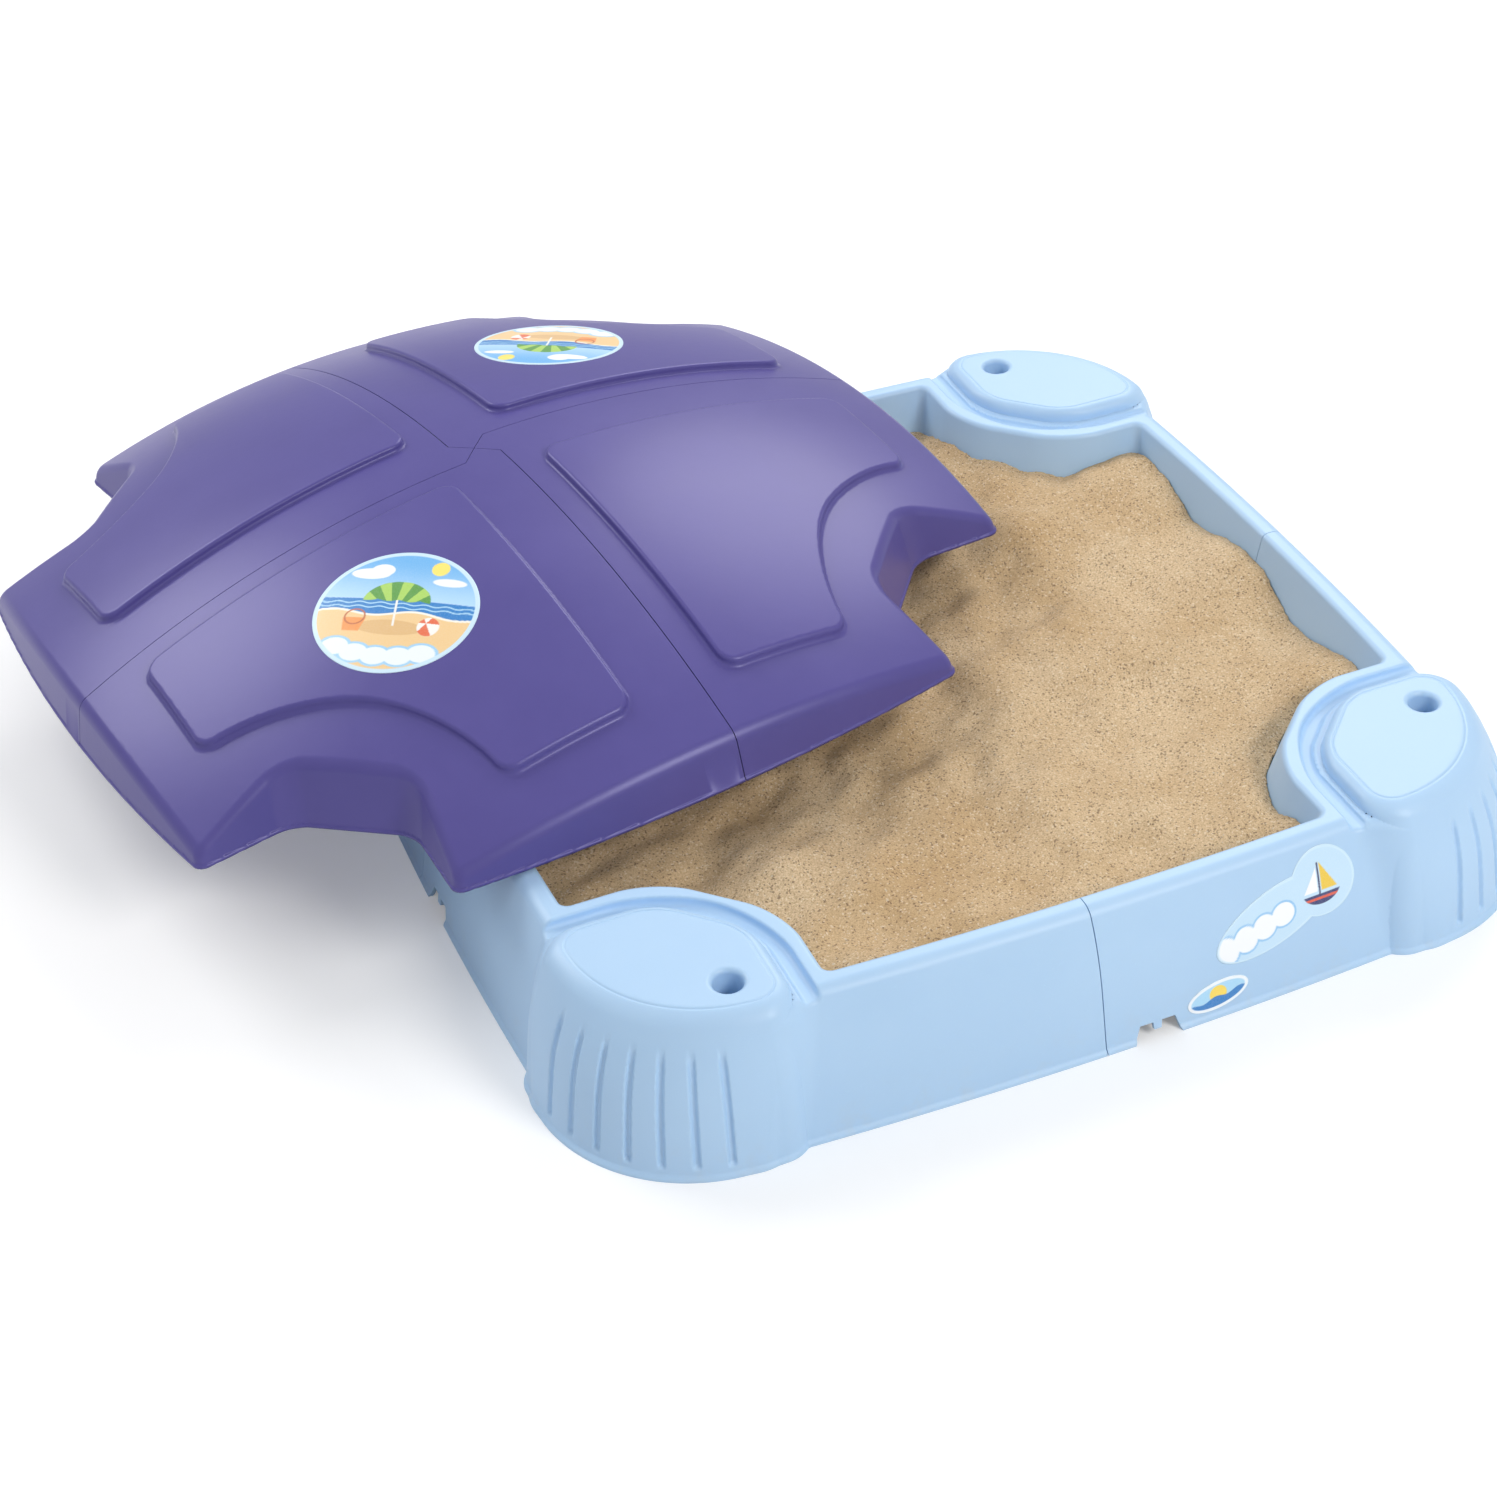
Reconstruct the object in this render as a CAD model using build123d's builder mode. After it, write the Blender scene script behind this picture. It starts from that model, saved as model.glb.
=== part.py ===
from build123d import *

import math
import os

# Square play sandbox in four corner-seat quadrants, with its sand and a loose domed cover.
#
# Frame: millimetres, Z up, ground at z = 0, origin under the middle of the tray. The front wall
# faces -Y, the right wall +X. The cover lies across the back left of the tray, as it is put down
# while children play. What repeats is modelled once at the front and turned about Z.

SIDES = ("front", "right", "back", "left")
OCTAGON = math.tan(math.pi / 8)      # moves the end of a 45 degree chamfer as its sides move
CUT_LOW, CUT_HIGH = -5.0, 200.0      # heights that clear every piece
ACROSS = 200.0                       # width that clears a wall

# ---------------------------------------------------------------- tray, driving dimensions
WALL_H = 140.0            # rim height
RIM_OUT = 450.0           # rim outer line from the middle, at mid-wall
BOW_R = 4450.0            # plan radius of the bowed walls, at the rim line
ARM_TURN = 4.6            # degrees that half a wall spans about the centre of its bow
SKIN = 4.0                # moulded wall thickness
SEAM = -6.0               # wall seam, from the middle of each side
GAP = 0.3                 # half the seam gap
PAST_MIDDLE = 25.0        # the left half wall runs this far past the middle
TRAY_REACH = 520.0        # beyond the tray on every side
FLOOR_T = 4.0             # floor thickness
FLOOR_FAR = 430.0         # the floor reaches under the walls to here
FLOOR_NEAR = -14.0        # and past the middle to here, before it is trimmed to its share
SEAT_H = 150.0            # height of the corner seats
LIP = 250.0               # sand-side face of the seat lip, from the middle lines
LIP_CHAMFER = 340.0       # where the lip turns into its chamfer
LIP_SPREAD = 28.0         # the lip's wall spreads by this much at the floor
LIP_ROUND = 6.0           # height of the lip's rounded edge
LIP_BROW = 1.5            # its spread below that edge
LIP_SET_BACK = 3.0        # and how far the edge leans back on top
LIP_FAR = 432.0           # the lip block ends here, inside the walls
LIP_CORNER = 52.0         # its outer corner is cut off by this much
LIP_TURN_R = 40.0         # plan radius of the lip's turns
GROOVE_IN = 264.0         # groove, sand-side edge
GROOVE_OUT = 280.0        # groove, seat-side edge = foot of the seat
GROOVE_Z = 131.0          # groove floor
SEAT_CHAMFER = 354.0      # where the seat side turns into its chamfer
SEAT_END_R = 10.0         # plan radius at the ends of the seat's sides
SEAT_CENTRE = 334.0       # centre of the seat's round corner, from both middle lines
HOLE_R = 14.0             # accessory hole in each seat
HOLE_X = -334.0
HOLE_Y = -415.0
HOLE_BASE = 87.0          # underside of the cup below the hole
CUP_WALL, CUP_H = 3.0, 62.0
FLUTES = 7                # upright flutes round the seat
FLUTE_R = 5.0
FLUTE_TURN = 11.0         # degrees between flutes
FLUTE_FOOT = (165.5, 16.0)     # distance from the corner's centre, height
FLUTE_TOP = (168.0, 120.0)     # from a centre that is FLUTE_SHIFT nearer the middle
FLUTE_SHIFT = 25.0
NOTCH_A = 23.0            # clip opening at the foot of each wall, from the middle of the side
NOTCH_B = 71.0
NOTCH_H = 17.0
NOTCH_SLANT = 6.0
TOOTH_HALF = 5.0          # tooth that hangs in the opening
TOOTH_H = 8.0
JOINER_LEN = 80.0         # snap-in joiner inside the rim, across each seam
JOINER_IN = 4.8           # outside of the joiner, in from the wall's face
JOINER_T = 3.8            # its thickness
JOINER_FOOT = 86.0        # and its lower edge

# wall section: (distance from the middle, height), outside, over the rim, inside
WALL_SECTION = [
    (500.0, 0.0), (496.0, 5.0), (490.0, 35.0), (485.0, 60.0), (478.5, 85.0),
    (471.5, 106.0), (464.5, 122.0), (457.5, 134.0), (450.0, 140.0), (441.0, 140.0),
    (434.5, 134.0), (426.0, 95.0), (407.0, 0.0),
]
# seat outside, bottom to top: (height, reach, corner radius, flank)
SEAT_LEVELS = [
    (0.0, 499.0, 165.0, 306.0), (6.0, 496.0, 163.0, 304.0), (60.0, 489.0, 164.0, 296.0),
    (125.0, 472.0, 163.0, 285.0), (141.0, 462.0, 158.0, 281.0), (148.0, 453.0, 152.0, 284.0),
    (150.0, 446.0, 138.0, 290.0),
]

# ---------------------------------------------------------------- sand, driving dimensions
SAND_Z = 98.0             # general level of the sand
HEAP_X, HEAP_Y = 170.0, 150.0
HEAP_FOOT_R, HEAP_TOP_R, HEAP_H, HEAP_SUNK = 170.0, 60.0, 14.0, 0.5
SAND_CLEAR = 0.6          # gap to the mouldings

# ---------------------------------------------------------------- cover, driving dimensions
COVER_TIP_OUT = 453.0     # half width at the tips
COVER_TIP_ALONG = 274.0   # tip position along each side
COVER_BOW = 19.0          # bow of each side
NOTCH_SIDE = 268.0        # side wall of the corner notch
NOTCH_TURN = 353.0        # where the notch turns into its chamfer
APEX = 149.0              # crown height over the bottom edge
CROWN_R = 1106.0          # crown radius
LEAN = 0.22               # lean of the skirts, mm per mm
COVER_T = 4.0             # cover thickness
COVER_SEAM = 20.0         # pinwheel offset of the cover seams
COVER_TOP = 190.0         # above the crown
PANEL_RISE = 8.0          # raised panel
PANEL_IN = 50.0           # panel edge beside the seams
PANEL_OUT = 400.0         # panel outer edge
PANEL_LOW = 20.0          # the panel's sides start here, inside the cover
PANEL_CUT = [(188.0, 400.0), (197.0, 334.0), (238.0, 273.0)]     # its curved cut, up to the diagonal
BEAD = 1.5                # bead round the bottom edge
BEAD_H = 3.0
BOSS_R = 6.0              # screw posts under the crown
BOSS_DROP = 18.0          # from the crown down to the end of a post
BOSS_SUNK = 2.0           # the posts start halfway through the cover
PILOT_R = 2.0
PILOT_DEEP = 12.0
STRAP_NEAR, STRAP_FAR = 150.0, 330.0      # screws of a strap, from the middle
SCREW_ASIDE = 15.0        # and to each side of the seam
HUB_SPOT = (-12.0, -34.0)
HUB_R = 50.0
PLATE_T = 2.4             # thickness of the straps and the hub
PLATE_GAP = 0.1
PAD_X, PAD_Y = 54.0, 24.0
RAIL_W, RAIL_LAP = 16.0, 8.0
CLEAR_R, CLEAR_LEN = 2.25, 20.0          # screw clearance holes
HEAD_R, HEAD_H, HEAD_GAP = 4.5, 2.6, 0.05
SHANK_R, SHANK_UP, SHANK_LAP = 1.8, 10.0, 1.0      # radius, reach into the post, lap with the head
STICKER_AT = 183.0        # cover stickers, from the middle lines
STICKER_A, STICKER_B = 75.0, 82.0         # half sizes toward the corner and across
STICKER_SIDES = 28
FILM_T = 0.5              # sticker thickness
FILM_LIFT = 0.02          # sticker clearance over the plastic
FILM_LOW, FILM_HIGH = 3.0, 136.0         # wall heights that a wall sticker may cover
SCENE_OVALS = [(172, 80, 64, 27, 18), (226, 98, 34, 32, 0)]      # x, z, half sizes, turn
BADGE_OVALS = [(110, 23, 32, 14, 8)]
COVER_PLACE = Location((-312.2, 294.7, 136.0), (-1.66, -1.48, 9.47), Extrinsic.XYZ)

STAND = (Align.CENTER, Align.CENTER, Align.MIN)
HANG = (Align.CENTER, Align.CENTER, Align.MAX)

os.makedirs("parts", exist_ok=True)


# ---------------------------------------------------------------- shared helpers
def largest(part):
    return part.solids().sort_by(SortBy.VOLUME)[-1]


def turned(point, quarters):
    x, y = point
    for _ in range(quarters):
        x, y = -y, x
    return (x, y)


def prism(points, low, high):
    """Upright prism on a plan outline."""
    with BuildPart() as piece:
        with BuildSketch(Plane.XY.offset(low)):
            with BuildLine():
                Polyline(*points, close=True)
            make_face()
        extrude(amount=high - low)
    return piece.part


def quadrant_area(shift):
    """Front quadrant between two offset seams, with its share of the middle square."""
    a, b, s = shift - GAP, -shift - GAP, abs(shift)
    far = -TRAY_REACH
    return prism([(a, far), (a, -s), (-GAP, -GAP), (-s, b), (far, b), (far, far)], CUT_LOW, CUT_HIGH)


# ---------------------------------------------------------------- tray pieces
def wall_section(inset):
    """Section across a wall, moved in by inset all round and open at the foot."""
    below = min(-1.0, -1.0 - inset) if inset else 0.0
    foot_out, foot_in = WALL_SECTION[0][0], WALL_SECTION[-1][0]
    points = [(-r, z) for r, z in WALL_SECTION]
    if inset:
        points = [(-foot_out, below), *points, (-foot_in, below)]
    with BuildSketch() as section:
        with BuildLine():
            Polyline(*points, close=True)
        make_face()
        if inset:
            offset(amount=-inset, kind=Kind.INTERSECTION)
    return section.sketch


def wall_arm(section):
    """A section swept along the left half of the bowed front wall."""
    with BuildPart() as arm:
        with BuildSketch(Plane.YZ):
            add(section)
        revolve(axis=Axis((0, BOW_R - RIM_OUT, 0), (0, 0, -1)), revolution_arc=ARM_TURN)
    return arm.part


def quadrant_arms(inset):
    """The front quadrant's two half walls; the left one runs a little past the middle."""
    front = wall_arm(wall_section(inset))
    left = front.mirror(Plane((0, 0, 0), x_dir=(0, 0, 1), z_dir=(1, -1, 0)))
    with BuildPart() as past_middle:
        add(left.mirror(Plane.XZ))
        with BuildSketch(Plane.XY.offset(CUT_LOW)):
            with Locations((-RIM_OUT, 0)):
                Rectangle(ACROSS, 2 * PAST_MIDDLE)
        extrude(amount=CUT_HIGH - CUT_LOW, mode=Mode.INTERSECT)
    with BuildPart() as arms:
        add(front)
        add(left)
        add(past_middle.part)
    return arms.part


def seat_outline(reach, radius, flank):
    """Plan of the seat: a round outer corner, two sides and a chamfered inner corner."""
    k = SEAT_END_R
    bend = 1 - math.sqrt(0.5)
    cut = SEAT_CHAMFER + (flank - GROOVE_OUT) * OCTAGON
    round_mid = -reach + radius * bend
    end_side, end_reach = -flank - k * bend, -reach + k * bend
    with BuildSketch() as outline:
        with BuildLine():
            Line((-reach, -flank - k), (-reach, -reach + radius))
            ThreePointArc((-reach, -reach + radius), (round_mid, round_mid), (-reach + radius, -reach))
            Line((-reach + radius, -reach), (-flank - k, -reach))
            ThreePointArc((-flank - k, -reach), (end_side, end_reach), (-flank, -reach + k))
            Line((-flank, -reach + k), (-flank, -cut))
            Line((-flank, -cut), (-cut, -flank))
            Line((-cut, -flank), (-reach + k, -flank))
            ThreePointArc((-reach + k, -flank), (end_reach, end_side), (-reach, -flank - k))
        make_face()
    return outline.sketch


def lofted(levels):
    """Straight loft through (height, outline) levels."""
    with BuildPart() as block:
        for z, outline in levels:
            with BuildSketch(Plane.XY.offset(z)):
                add(outline)
        loft(ruled=True)
    return block.part


def seat_block(inset):
    levels = []
    for z, reach, radius, flank in SEAT_LEVELS:
        levels.append((z - inset, seat_outline(reach - inset, radius - inset, flank + inset)))
    return lofted(levels)


def lip_outline(spread):
    """Plan of the lip round a seat, its sand side moved out by spread."""
    a = LIP - spread
    c = LIP_CHAMFER - spread * OCTAGON
    far, corner = LIP_FAR, LIP_FAR - LIP_CORNER
    with BuildSketch() as outline:
        with BuildLine():
            Polyline(
                (-far, -a), (-c, -a), (-a, -c), (-a, -far), (-corner, -far), (-far, -corner), close=True,
            )
        make_face()
        turns = outline.vertices().filter_by(lambda v: v.X > -corner and v.Y > -corner)
        fillet(turns, LIP_TURN_R)
    return outline.sketch


def lip_block(spreads):
    """The lip's wall through (height, spread) levels."""
    return lofted([(z, lip_outline(spread)) for z, spread in spreads])


def groove_channel(grow, floor):
    """Space of the groove between lip and seat, open above."""
    a, b = GROOVE_IN - grow, GROOVE_OUT + grow
    turn_a = LIP_CHAMFER + (GROOVE_IN - LIP - grow) * OCTAGON
    turn_b = SEAT_CHAMFER + grow * OCTAGON
    far = TRAY_REACH
    sand_side = [(-a, -far), (-a, -turn_a), (-turn_a, -a), (-far, -a)]
    seat_side = [(-far, -b), (-turn_b, -b), (-b, -turn_b), (-b, -far)]
    return prism(sand_side + seat_side, floor, SEAT_H + 10)


def flute(angle):
    """Round-ended cutter of one flute, lying along the leaning face."""
    along_x, along_y = math.cos(math.radians(angle)), math.sin(math.radians(angle))
    centre = -SEAT_CENTRE
    foot_r, foot_z = FLUTE_FOOT
    top_r, top_z = FLUTE_TOP
    foot = Vector(centre + foot_r * along_x, centre + foot_r * along_y, foot_z)
    top = Vector(centre + FLUTE_SHIFT + top_r * along_x, centre + FLUTE_SHIFT + top_r * along_y, top_z)
    with BuildPart() as cutter:
        with Locations(Plane(origin=foot, z_dir=top - foot)):
            Cylinder(FLUTE_R, (top - foot).length, align=STAND)
        with Locations(foot, top):
            Sphere(FLUTE_R)
    return cutter.part


def foot_notch():
    """Clip opening through the outer skin at the foot of the left wall, with its tooth."""
    a, b, h = -NOTCH_A, -NOTCH_B, NOTCH_H
    middle = (a + b) / 2
    root, tip, low = TOOTH_HALF, TOOTH_HALF - 1, h - TOOTH_H
    near = [(a, -2), (a - NOTCH_SLANT, h)]
    tooth = [(middle + root, h), (middle + tip, low), (middle - tip, low), (middle - root, h)]
    far = [(b + NOTCH_SLANT, h), (b, -2)]
    with BuildPart() as opening:
        with BuildSketch(Plane.YZ.offset(-TRAY_REACH)):
            with BuildLine():
                Polyline(*near, *tooth, *far, close=True)
            make_face()
        extrude(amount=60)
    return opening.part


def base_quadrant():
    """Front quadrant of the tray: hollow half walls, lip, groove, seat with its cup, floor."""
    arms = quadrant_arms(0)
    lip = lip_block([(0, LIP_SPREAD), (WALL_H - LIP_ROUND, LIP_BROW), (WALL_H, -LIP_SET_BACK)])
    seat = seat_block(0)
    groove = groove_channel(0, GROOVE_Z)
    with BuildPart() as outside:
        add(arms)
        add(lip)
        add(seat)
        add(groove, mode=Mode.SUBTRACT)

    hollow_arms = quadrant_arms(SKIN)
    top = WALL_H - SKIN
    hollow_lip = lip_block(
        [(-1, LIP_SPREAD - SKIN), (top - LIP_ROUND, LIP_BROW - SKIN), (top, -LIP_SET_BACK - SKIN)],
    )
    hollow_seat = seat_block(SKIN)
    hollow_groove = groove_channel(SKIN, GROOVE_Z - SKIN)
    with BuildPart() as hollow:
        add(hollow_arms)
        add(hollow_lip)
        add(hollow_seat)
        add(hollow_groove, mode=Mode.SUBTRACT)

    with BuildPart() as floor:
        with BuildSketch():
            with Locations((-(FLOOR_FAR + FLOOR_NEAR) / 2, -(FLOOR_FAR + FLOOR_NEAR) / 2)):
                Rectangle(FLOOR_FAR - FLOOR_NEAR, FLOOR_FAR - FLOOR_NEAR)
        extrude(amount=FLOOR_T)
        add(outside.part, mode=Mode.SUBTRACT)

    area = quadrant_area(SEAM)
    first = -135.0 - FLUTE_TURN * (FLUTES - 1) / 2
    cutters = [flute(first + FLUTE_TURN * i) for i in range(FLUTES)]
    notch = foot_notch()
    with BuildPart() as quadrant:
        add(outside.part)
        add(hollow.part, mode=Mode.SUBTRACT)
        with Locations((HOLE_X, HOLE_Y, HOLE_BASE)):
            Cylinder(HOLE_R + CUP_WALL, CUP_H, align=STAND)
        with Locations((HOLE_X, HOLE_Y, HOLE_BASE + CUP_WALL)):
            Cylinder(HOLE_R, SEAT_H, align=STAND, mode=Mode.SUBTRACT)
        add(floor.part)
        add(area, mode=Mode.INTERSECT)
        for cutter in cutters:
            add(cutter, mode=Mode.SUBTRACT)
        add(notch, mode=Mode.SUBTRACT)
    return largest(quadrant.part)


def wall_joiner():
    """Channel that bridges the front seam inside the hollow rim."""
    arm = wall_arm(wall_section(JOINER_IN))
    inner_arm = wall_arm(wall_section(JOINER_IN + JOINER_T))
    with BuildPart() as joiner:
        add(arm)
        add(inner_arm, mode=Mode.SUBTRACT)
        mirror(about=Plane.YZ)
        with BuildSketch(Plane.XY.offset(JOINER_FOOT)):
            with Locations((SEAM, -RIM_OUT)):
                Rectangle(JOINER_LEN, ACROSS)
        extrude(amount=WALL_H - JOINER_FOOT, mode=Mode.INTERSECT)
    return largest(joiner.part)


def sand_body():
    """Loose fill up to its general level, with one low heap right of the middle."""
    walls = quadrant_arms(-SAND_CLEAR)
    lip = lip_block([(-1, LIP_SPREAD + SAND_CLEAR), (SEAT_H + 10, SAND_CLEAR)])
    with BuildPart() as fill:
        with BuildSketch(Plane.XY.offset(FLOOR_T + SAND_CLEAR)):
            Rectangle(2 * FLOOR_FAR, 2 * FLOOR_FAR)
        extrude(amount=SAND_Z - FLOOR_T - SAND_CLEAR)
        with Locations((HEAP_X, HEAP_Y, SAND_Z - HEAP_SUNK)):
            Cone(HEAP_FOOT_R, HEAP_TOP_R, HEAP_H, align=STAND)
        for quarters in range(4):
            add(walls.rotate(Axis.Z, 90 * quarters), mode=Mode.SUBTRACT)
            add(lip.rotate(Axis.Z, 90 * quarters), mode=Mode.SUBTRACT)
    return largest(fill.part)


def wall_sticker(ovals):
    """Thin film over the front wall's outer face, cut to the ovals' joint outline."""
    face = [(r, z) for r, z in WALL_SECTION if FILM_LOW < z < FILM_HIGH and r > RIM_OUT]
    film_outside = [(-r - FILM_T, z) for r, z in face]
    film_inside = [(-r - FILM_LIFT, z) for r, z in face[::-1]]
    with BuildSketch() as film_section:
        with BuildLine():
            Polyline(*film_outside, *film_inside, close=True)
        make_face()
    film = wall_arm(film_section.sketch).mirror(Plane.YZ)
    with BuildPart() as sticker:
        with BuildSketch(Plane.XZ.offset(WALL_SECTION[-1][0])):
            for x, z, half_x, half_z, turn in ovals:
                with Locations((x, z)):
                    Ellipse(half_x, half_z, rotation=turn)
        extrude(amount=TRAY_REACH - WALL_SECTION[-1][0])
        add(film, mode=Mode.INTERSECT)
    return largest(sticker.part)


# ---------------------------------------------------------------- cover pieces, in the cover's own frame
def crown_height(x, y):
    return APEX - CROWN_R + math.sqrt(CROWN_R**2 - x * x - y * y)


def cover_corner(inset):
    """Front corner of the cover's outline: tip, notch side, chamfer, notch side, tip."""
    tip, out = COVER_TIP_ALONG - inset, COVER_TIP_OUT - inset
    side, turn = NOTCH_SIDE - inset, NOTCH_TURN - inset * OCTAGON
    return [(-out, -tip), (-turn, -side), (-side, -turn), (-tip, -out)]


def cover_outline(inset):
    """Plan of the cover with its four notched corners and bowed sides."""
    with BuildSketch() as outline:
        with BuildLine():
            for quarters in range(4):
                corner = [turned(p, quarters) for p in cover_corner(inset)]
                following = turned(cover_corner(inset)[0], quarters + 1)
                middle = turned((0, -(COVER_TIP_OUT + COVER_BOW) + inset), quarters)
                Polyline(*corner)
                ThreePointArc(corner[-1], middle, following)
        make_face()
    return outline.sketch


def panel_outline(inset):
    """Plan points of the raised panel, moved in by inset."""
    a, b = PANEL_IN + inset, PANEL_OUT - inset
    (x1, _), (x2, y2), (x3, y3) = PANEL_CUT
    aslant = inset * math.sqrt(0.5)
    cut = [(x1 - inset, b), (x2 - inset, y2), (x3 - aslant, y3 - aslant)]
    near = [(-x, -y) for x, y in cut]
    far = [(-y, -x) for x, y in cut[::-1]]
    return [(-a, -a), (-a, -b), *near, *far, (-b, -a)]


def cover_form(inset):
    """The cover's outside as a solid, moved in by inset: leaning skirts under the crown, raised panel."""
    low = -1.0 if inset else 0.0
    panel = prism(panel_outline(inset), PANEL_LOW, COVER_TOP)
    with BuildPart() as raised:
        add(panel)
        with Locations((0, 0, APEX - CROWN_R)):
            Sphere(CROWN_R + PANEL_RISE - inset, mode=Mode.INTERSECT)
    skirts = lofted([(low, cover_outline(inset)), (COVER_TOP, cover_outline(LEAN * COVER_TOP + inset))])
    with BuildPart() as form:
        add(skirts)
        with Locations((0, 0, APEX - CROWN_R)):
            Sphere(CROWN_R - inset, mode=Mode.INTERSECT)
        add(raised.part)
    return form.part


BASE_NEAR = crown_height(COVER_SEAM, STRAP_NEAR) - BOSS_DROP
BASE_FAR = crown_height(COVER_SEAM, STRAP_FAR) - BOSS_DROP
BASE_HUB = crown_height(*HUB_SPOT) - BOSS_DROP
STRAP_BASES = [(STRAP_NEAR, BASE_NEAR), (STRAP_FAR, BASE_FAR)]
# ends of the front quadrant's screw posts: two beside each of its seams, one near the middle
BOSSES = [(COVER_SEAM - SCREW_ASIDE, -away, base) for away, base in STRAP_BASES]
BOSSES += [(-away, -COVER_SEAM - SCREW_ASIDE, base) for away, base in STRAP_BASES]
BOSSES.append((*HUB_SPOT, BASE_HUB))


def cover_quadrant():
    """Front quadrant of the cover: thin shell with a beaded edge and five screw posts."""
    outside = cover_form(0)
    hollow = cover_form(COVER_T)
    area = quadrant_area(COVER_SEAM)
    bead_out, bead_in = cover_outline(-BEAD), cover_outline(COVER_T)
    with BuildPart() as bead:
        with BuildSketch():
            add(bead_out)
            add(bead_in, mode=Mode.SUBTRACT)
        extrude(amount=BEAD_H)
    with BuildPart() as quadrant:
        add(outside)
        add(hollow, mode=Mode.SUBTRACT)
        add(bead.part)
        add(area, mode=Mode.INTERSECT)
        for x, y, base in BOSSES:
            with Locations((x, y, base)):
                Cylinder(BOSS_R, crown_height(x, y) - BOSS_SUNK - base, align=STAND)
            with Locations((x, y, base - 1)):
                Cylinder(PILOT_R, PILOT_DEEP + 1, align=STAND, mode=Mode.SUBTRACT)
    return largest(quadrant.part)


def cover_strap():
    """Strap under the front seam: two pads joined by a sloping rail."""
    drop = PLATE_GAP + PLATE_T / 2
    near = Vector(COVER_SEAM, -STRAP_NEAR - RAIL_LAP, BASE_NEAR - drop)
    far = Vector(COVER_SEAM, -STRAP_FAR + RAIL_LAP, BASE_FAR - drop)
    slope = Plane(origin=(near + far) * 0.5, x_dir=(1, 0, 0), z_dir=far - near)
    with BuildPart() as strap:
        for away, base in STRAP_BASES:
            with Locations((COVER_SEAM, -away, base - drop)):
                Box(PAD_X, PAD_Y, PLATE_T)
        with Locations(slope):
            Box(RAIL_W, PLATE_T, (far - near).length)
        for away, base in STRAP_BASES:
            with Locations((COVER_SEAM, -away, base)):
                with GridLocations(2 * SCREW_ASIDE, 0, 2, 1):
                    Cylinder(CLEAR_R, CLEAR_LEN, mode=Mode.SUBTRACT)
    return largest(strap.part)


def cover_hub():
    """Disc that holds the four quadrants together under the middle."""
    top = BASE_HUB - PLATE_GAP
    with BuildPart() as hub:
        with Locations((0, 0, top - PLATE_T / 2)):
            Cylinder(HUB_R, PLATE_T)
        for quarters in range(4):
            with Locations((*turned(HUB_SPOT, quarters), top)):
                Cylinder(CLEAR_R, CLEAR_LEN, mode=Mode.SUBTRACT)
    return largest(hub.part)


def cover_screw(x, y, base):
    """Pan head under the plate, shank up into the post."""
    seat = base - PLATE_GAP - PLATE_T
    with BuildPart() as screw:
        with Locations((x, y, seat - HEAD_GAP)):
            Cylinder(HEAD_R, HEAD_H, align=HANG)
        with Locations((x, y, base + SHANK_UP)):
            Cylinder(SHANK_R, base + SHANK_UP + SHANK_LAP - seat, align=HANG)
    return screw.part


def cover_sticker(x, y):
    """Thin oval film over the raised panel, its short axis towards the corner."""
    heading = math.degrees(math.atan2(y, x))
    oval = []
    for side in range(STICKER_SIDES):
        turn = 2 * math.pi * side / STICKER_SIDES
        point = Vector(STICKER_A * math.cos(turn), STICKER_B * math.sin(turn)).rotate(Axis.Z, 45)
        oval.append(point + Vector(x, y))
    post = prism(oval, 0, COVER_TOP)
    with BuildPart() as sticker:
        add(post)
        with Locations(Location((0, 0, APEX - CROWN_R), (0, 0, heading))):
            Sphere(CROWN_R + PANEL_RISE + FILM_T, mode=Mode.INTERSECT)
            Sphere(CROWN_R + PANEL_RISE + FILM_LIFT, mode=Mode.SUBTRACT)
    return sticker.part.solids().sort_by(Axis.Z)[-1]


# ---------------------------------------------------------------- tray nodes
quadrant_shape = base_quadrant()
joiner_shape = wall_joiner()
for quarters, side in enumerate(SIDES):
    with BuildPart() as base_quadrant_piece:
        add(quadrant_shape.rotate(Axis.Z, 90 * quarters))
    base_quadrant_piece.part.label = f"base_quadrant_{side}"
    export_step(base_quadrant_piece.part, f"parts/base_quadrant_{side}.step")

    with BuildPart() as wall_joiner_piece:
        add(joiner_shape.rotate(Axis.Z, 90 * quarters))
    wall_joiner_piece.part.label = f"wall_joiner_{side}"
    export_step(wall_joiner_piece.part, f"parts/wall_joiner_{side}.step")

sand_shape = sand_body()
with BuildPart() as play_sand:
    add(sand_shape)
play_sand.part.label = "play_sand"
export_step(play_sand.part, "parts/play_sand.step")

scene_shape = wall_sticker(SCENE_OVALS)
with BuildPart() as wall_sticker_scene:
    add(scene_shape)
wall_sticker_scene.part.label = "wall_sticker_scene"
export_step(wall_sticker_scene.part, "parts/wall_sticker_scene.step")

badge_shape = wall_sticker(BADGE_OVALS)
with BuildPart() as wall_sticker_badge:
    add(badge_shape)
wall_sticker_badge.part.label = "wall_sticker_badge"
export_step(wall_sticker_badge.part, "parts/wall_sticker_badge.step")

# ---------------------------------------------------------------- cover nodes, put in place on the tray
cover_shape = cover_quadrant()
strap_shape = cover_strap()
for quarters, side in enumerate(SIDES):
    with BuildPart() as lid_quadrant_piece:
        add(cover_shape.rotate(Axis.Z, 90 * quarters).moved(COVER_PLACE))
    lid_quadrant_piece.part.label = f"lid_quadrant_{side}"
    export_step(lid_quadrant_piece.part, f"parts/lid_quadrant_{side}.step")

    with BuildPart() as lid_strap_piece:
        add(strap_shape.rotate(Axis.Z, 90 * quarters).moved(COVER_PLACE))
    lid_strap_piece.part.label = f"lid_strap_{side}"
    export_step(lid_strap_piece.part, f"parts/lid_strap_{side}.step")

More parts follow.
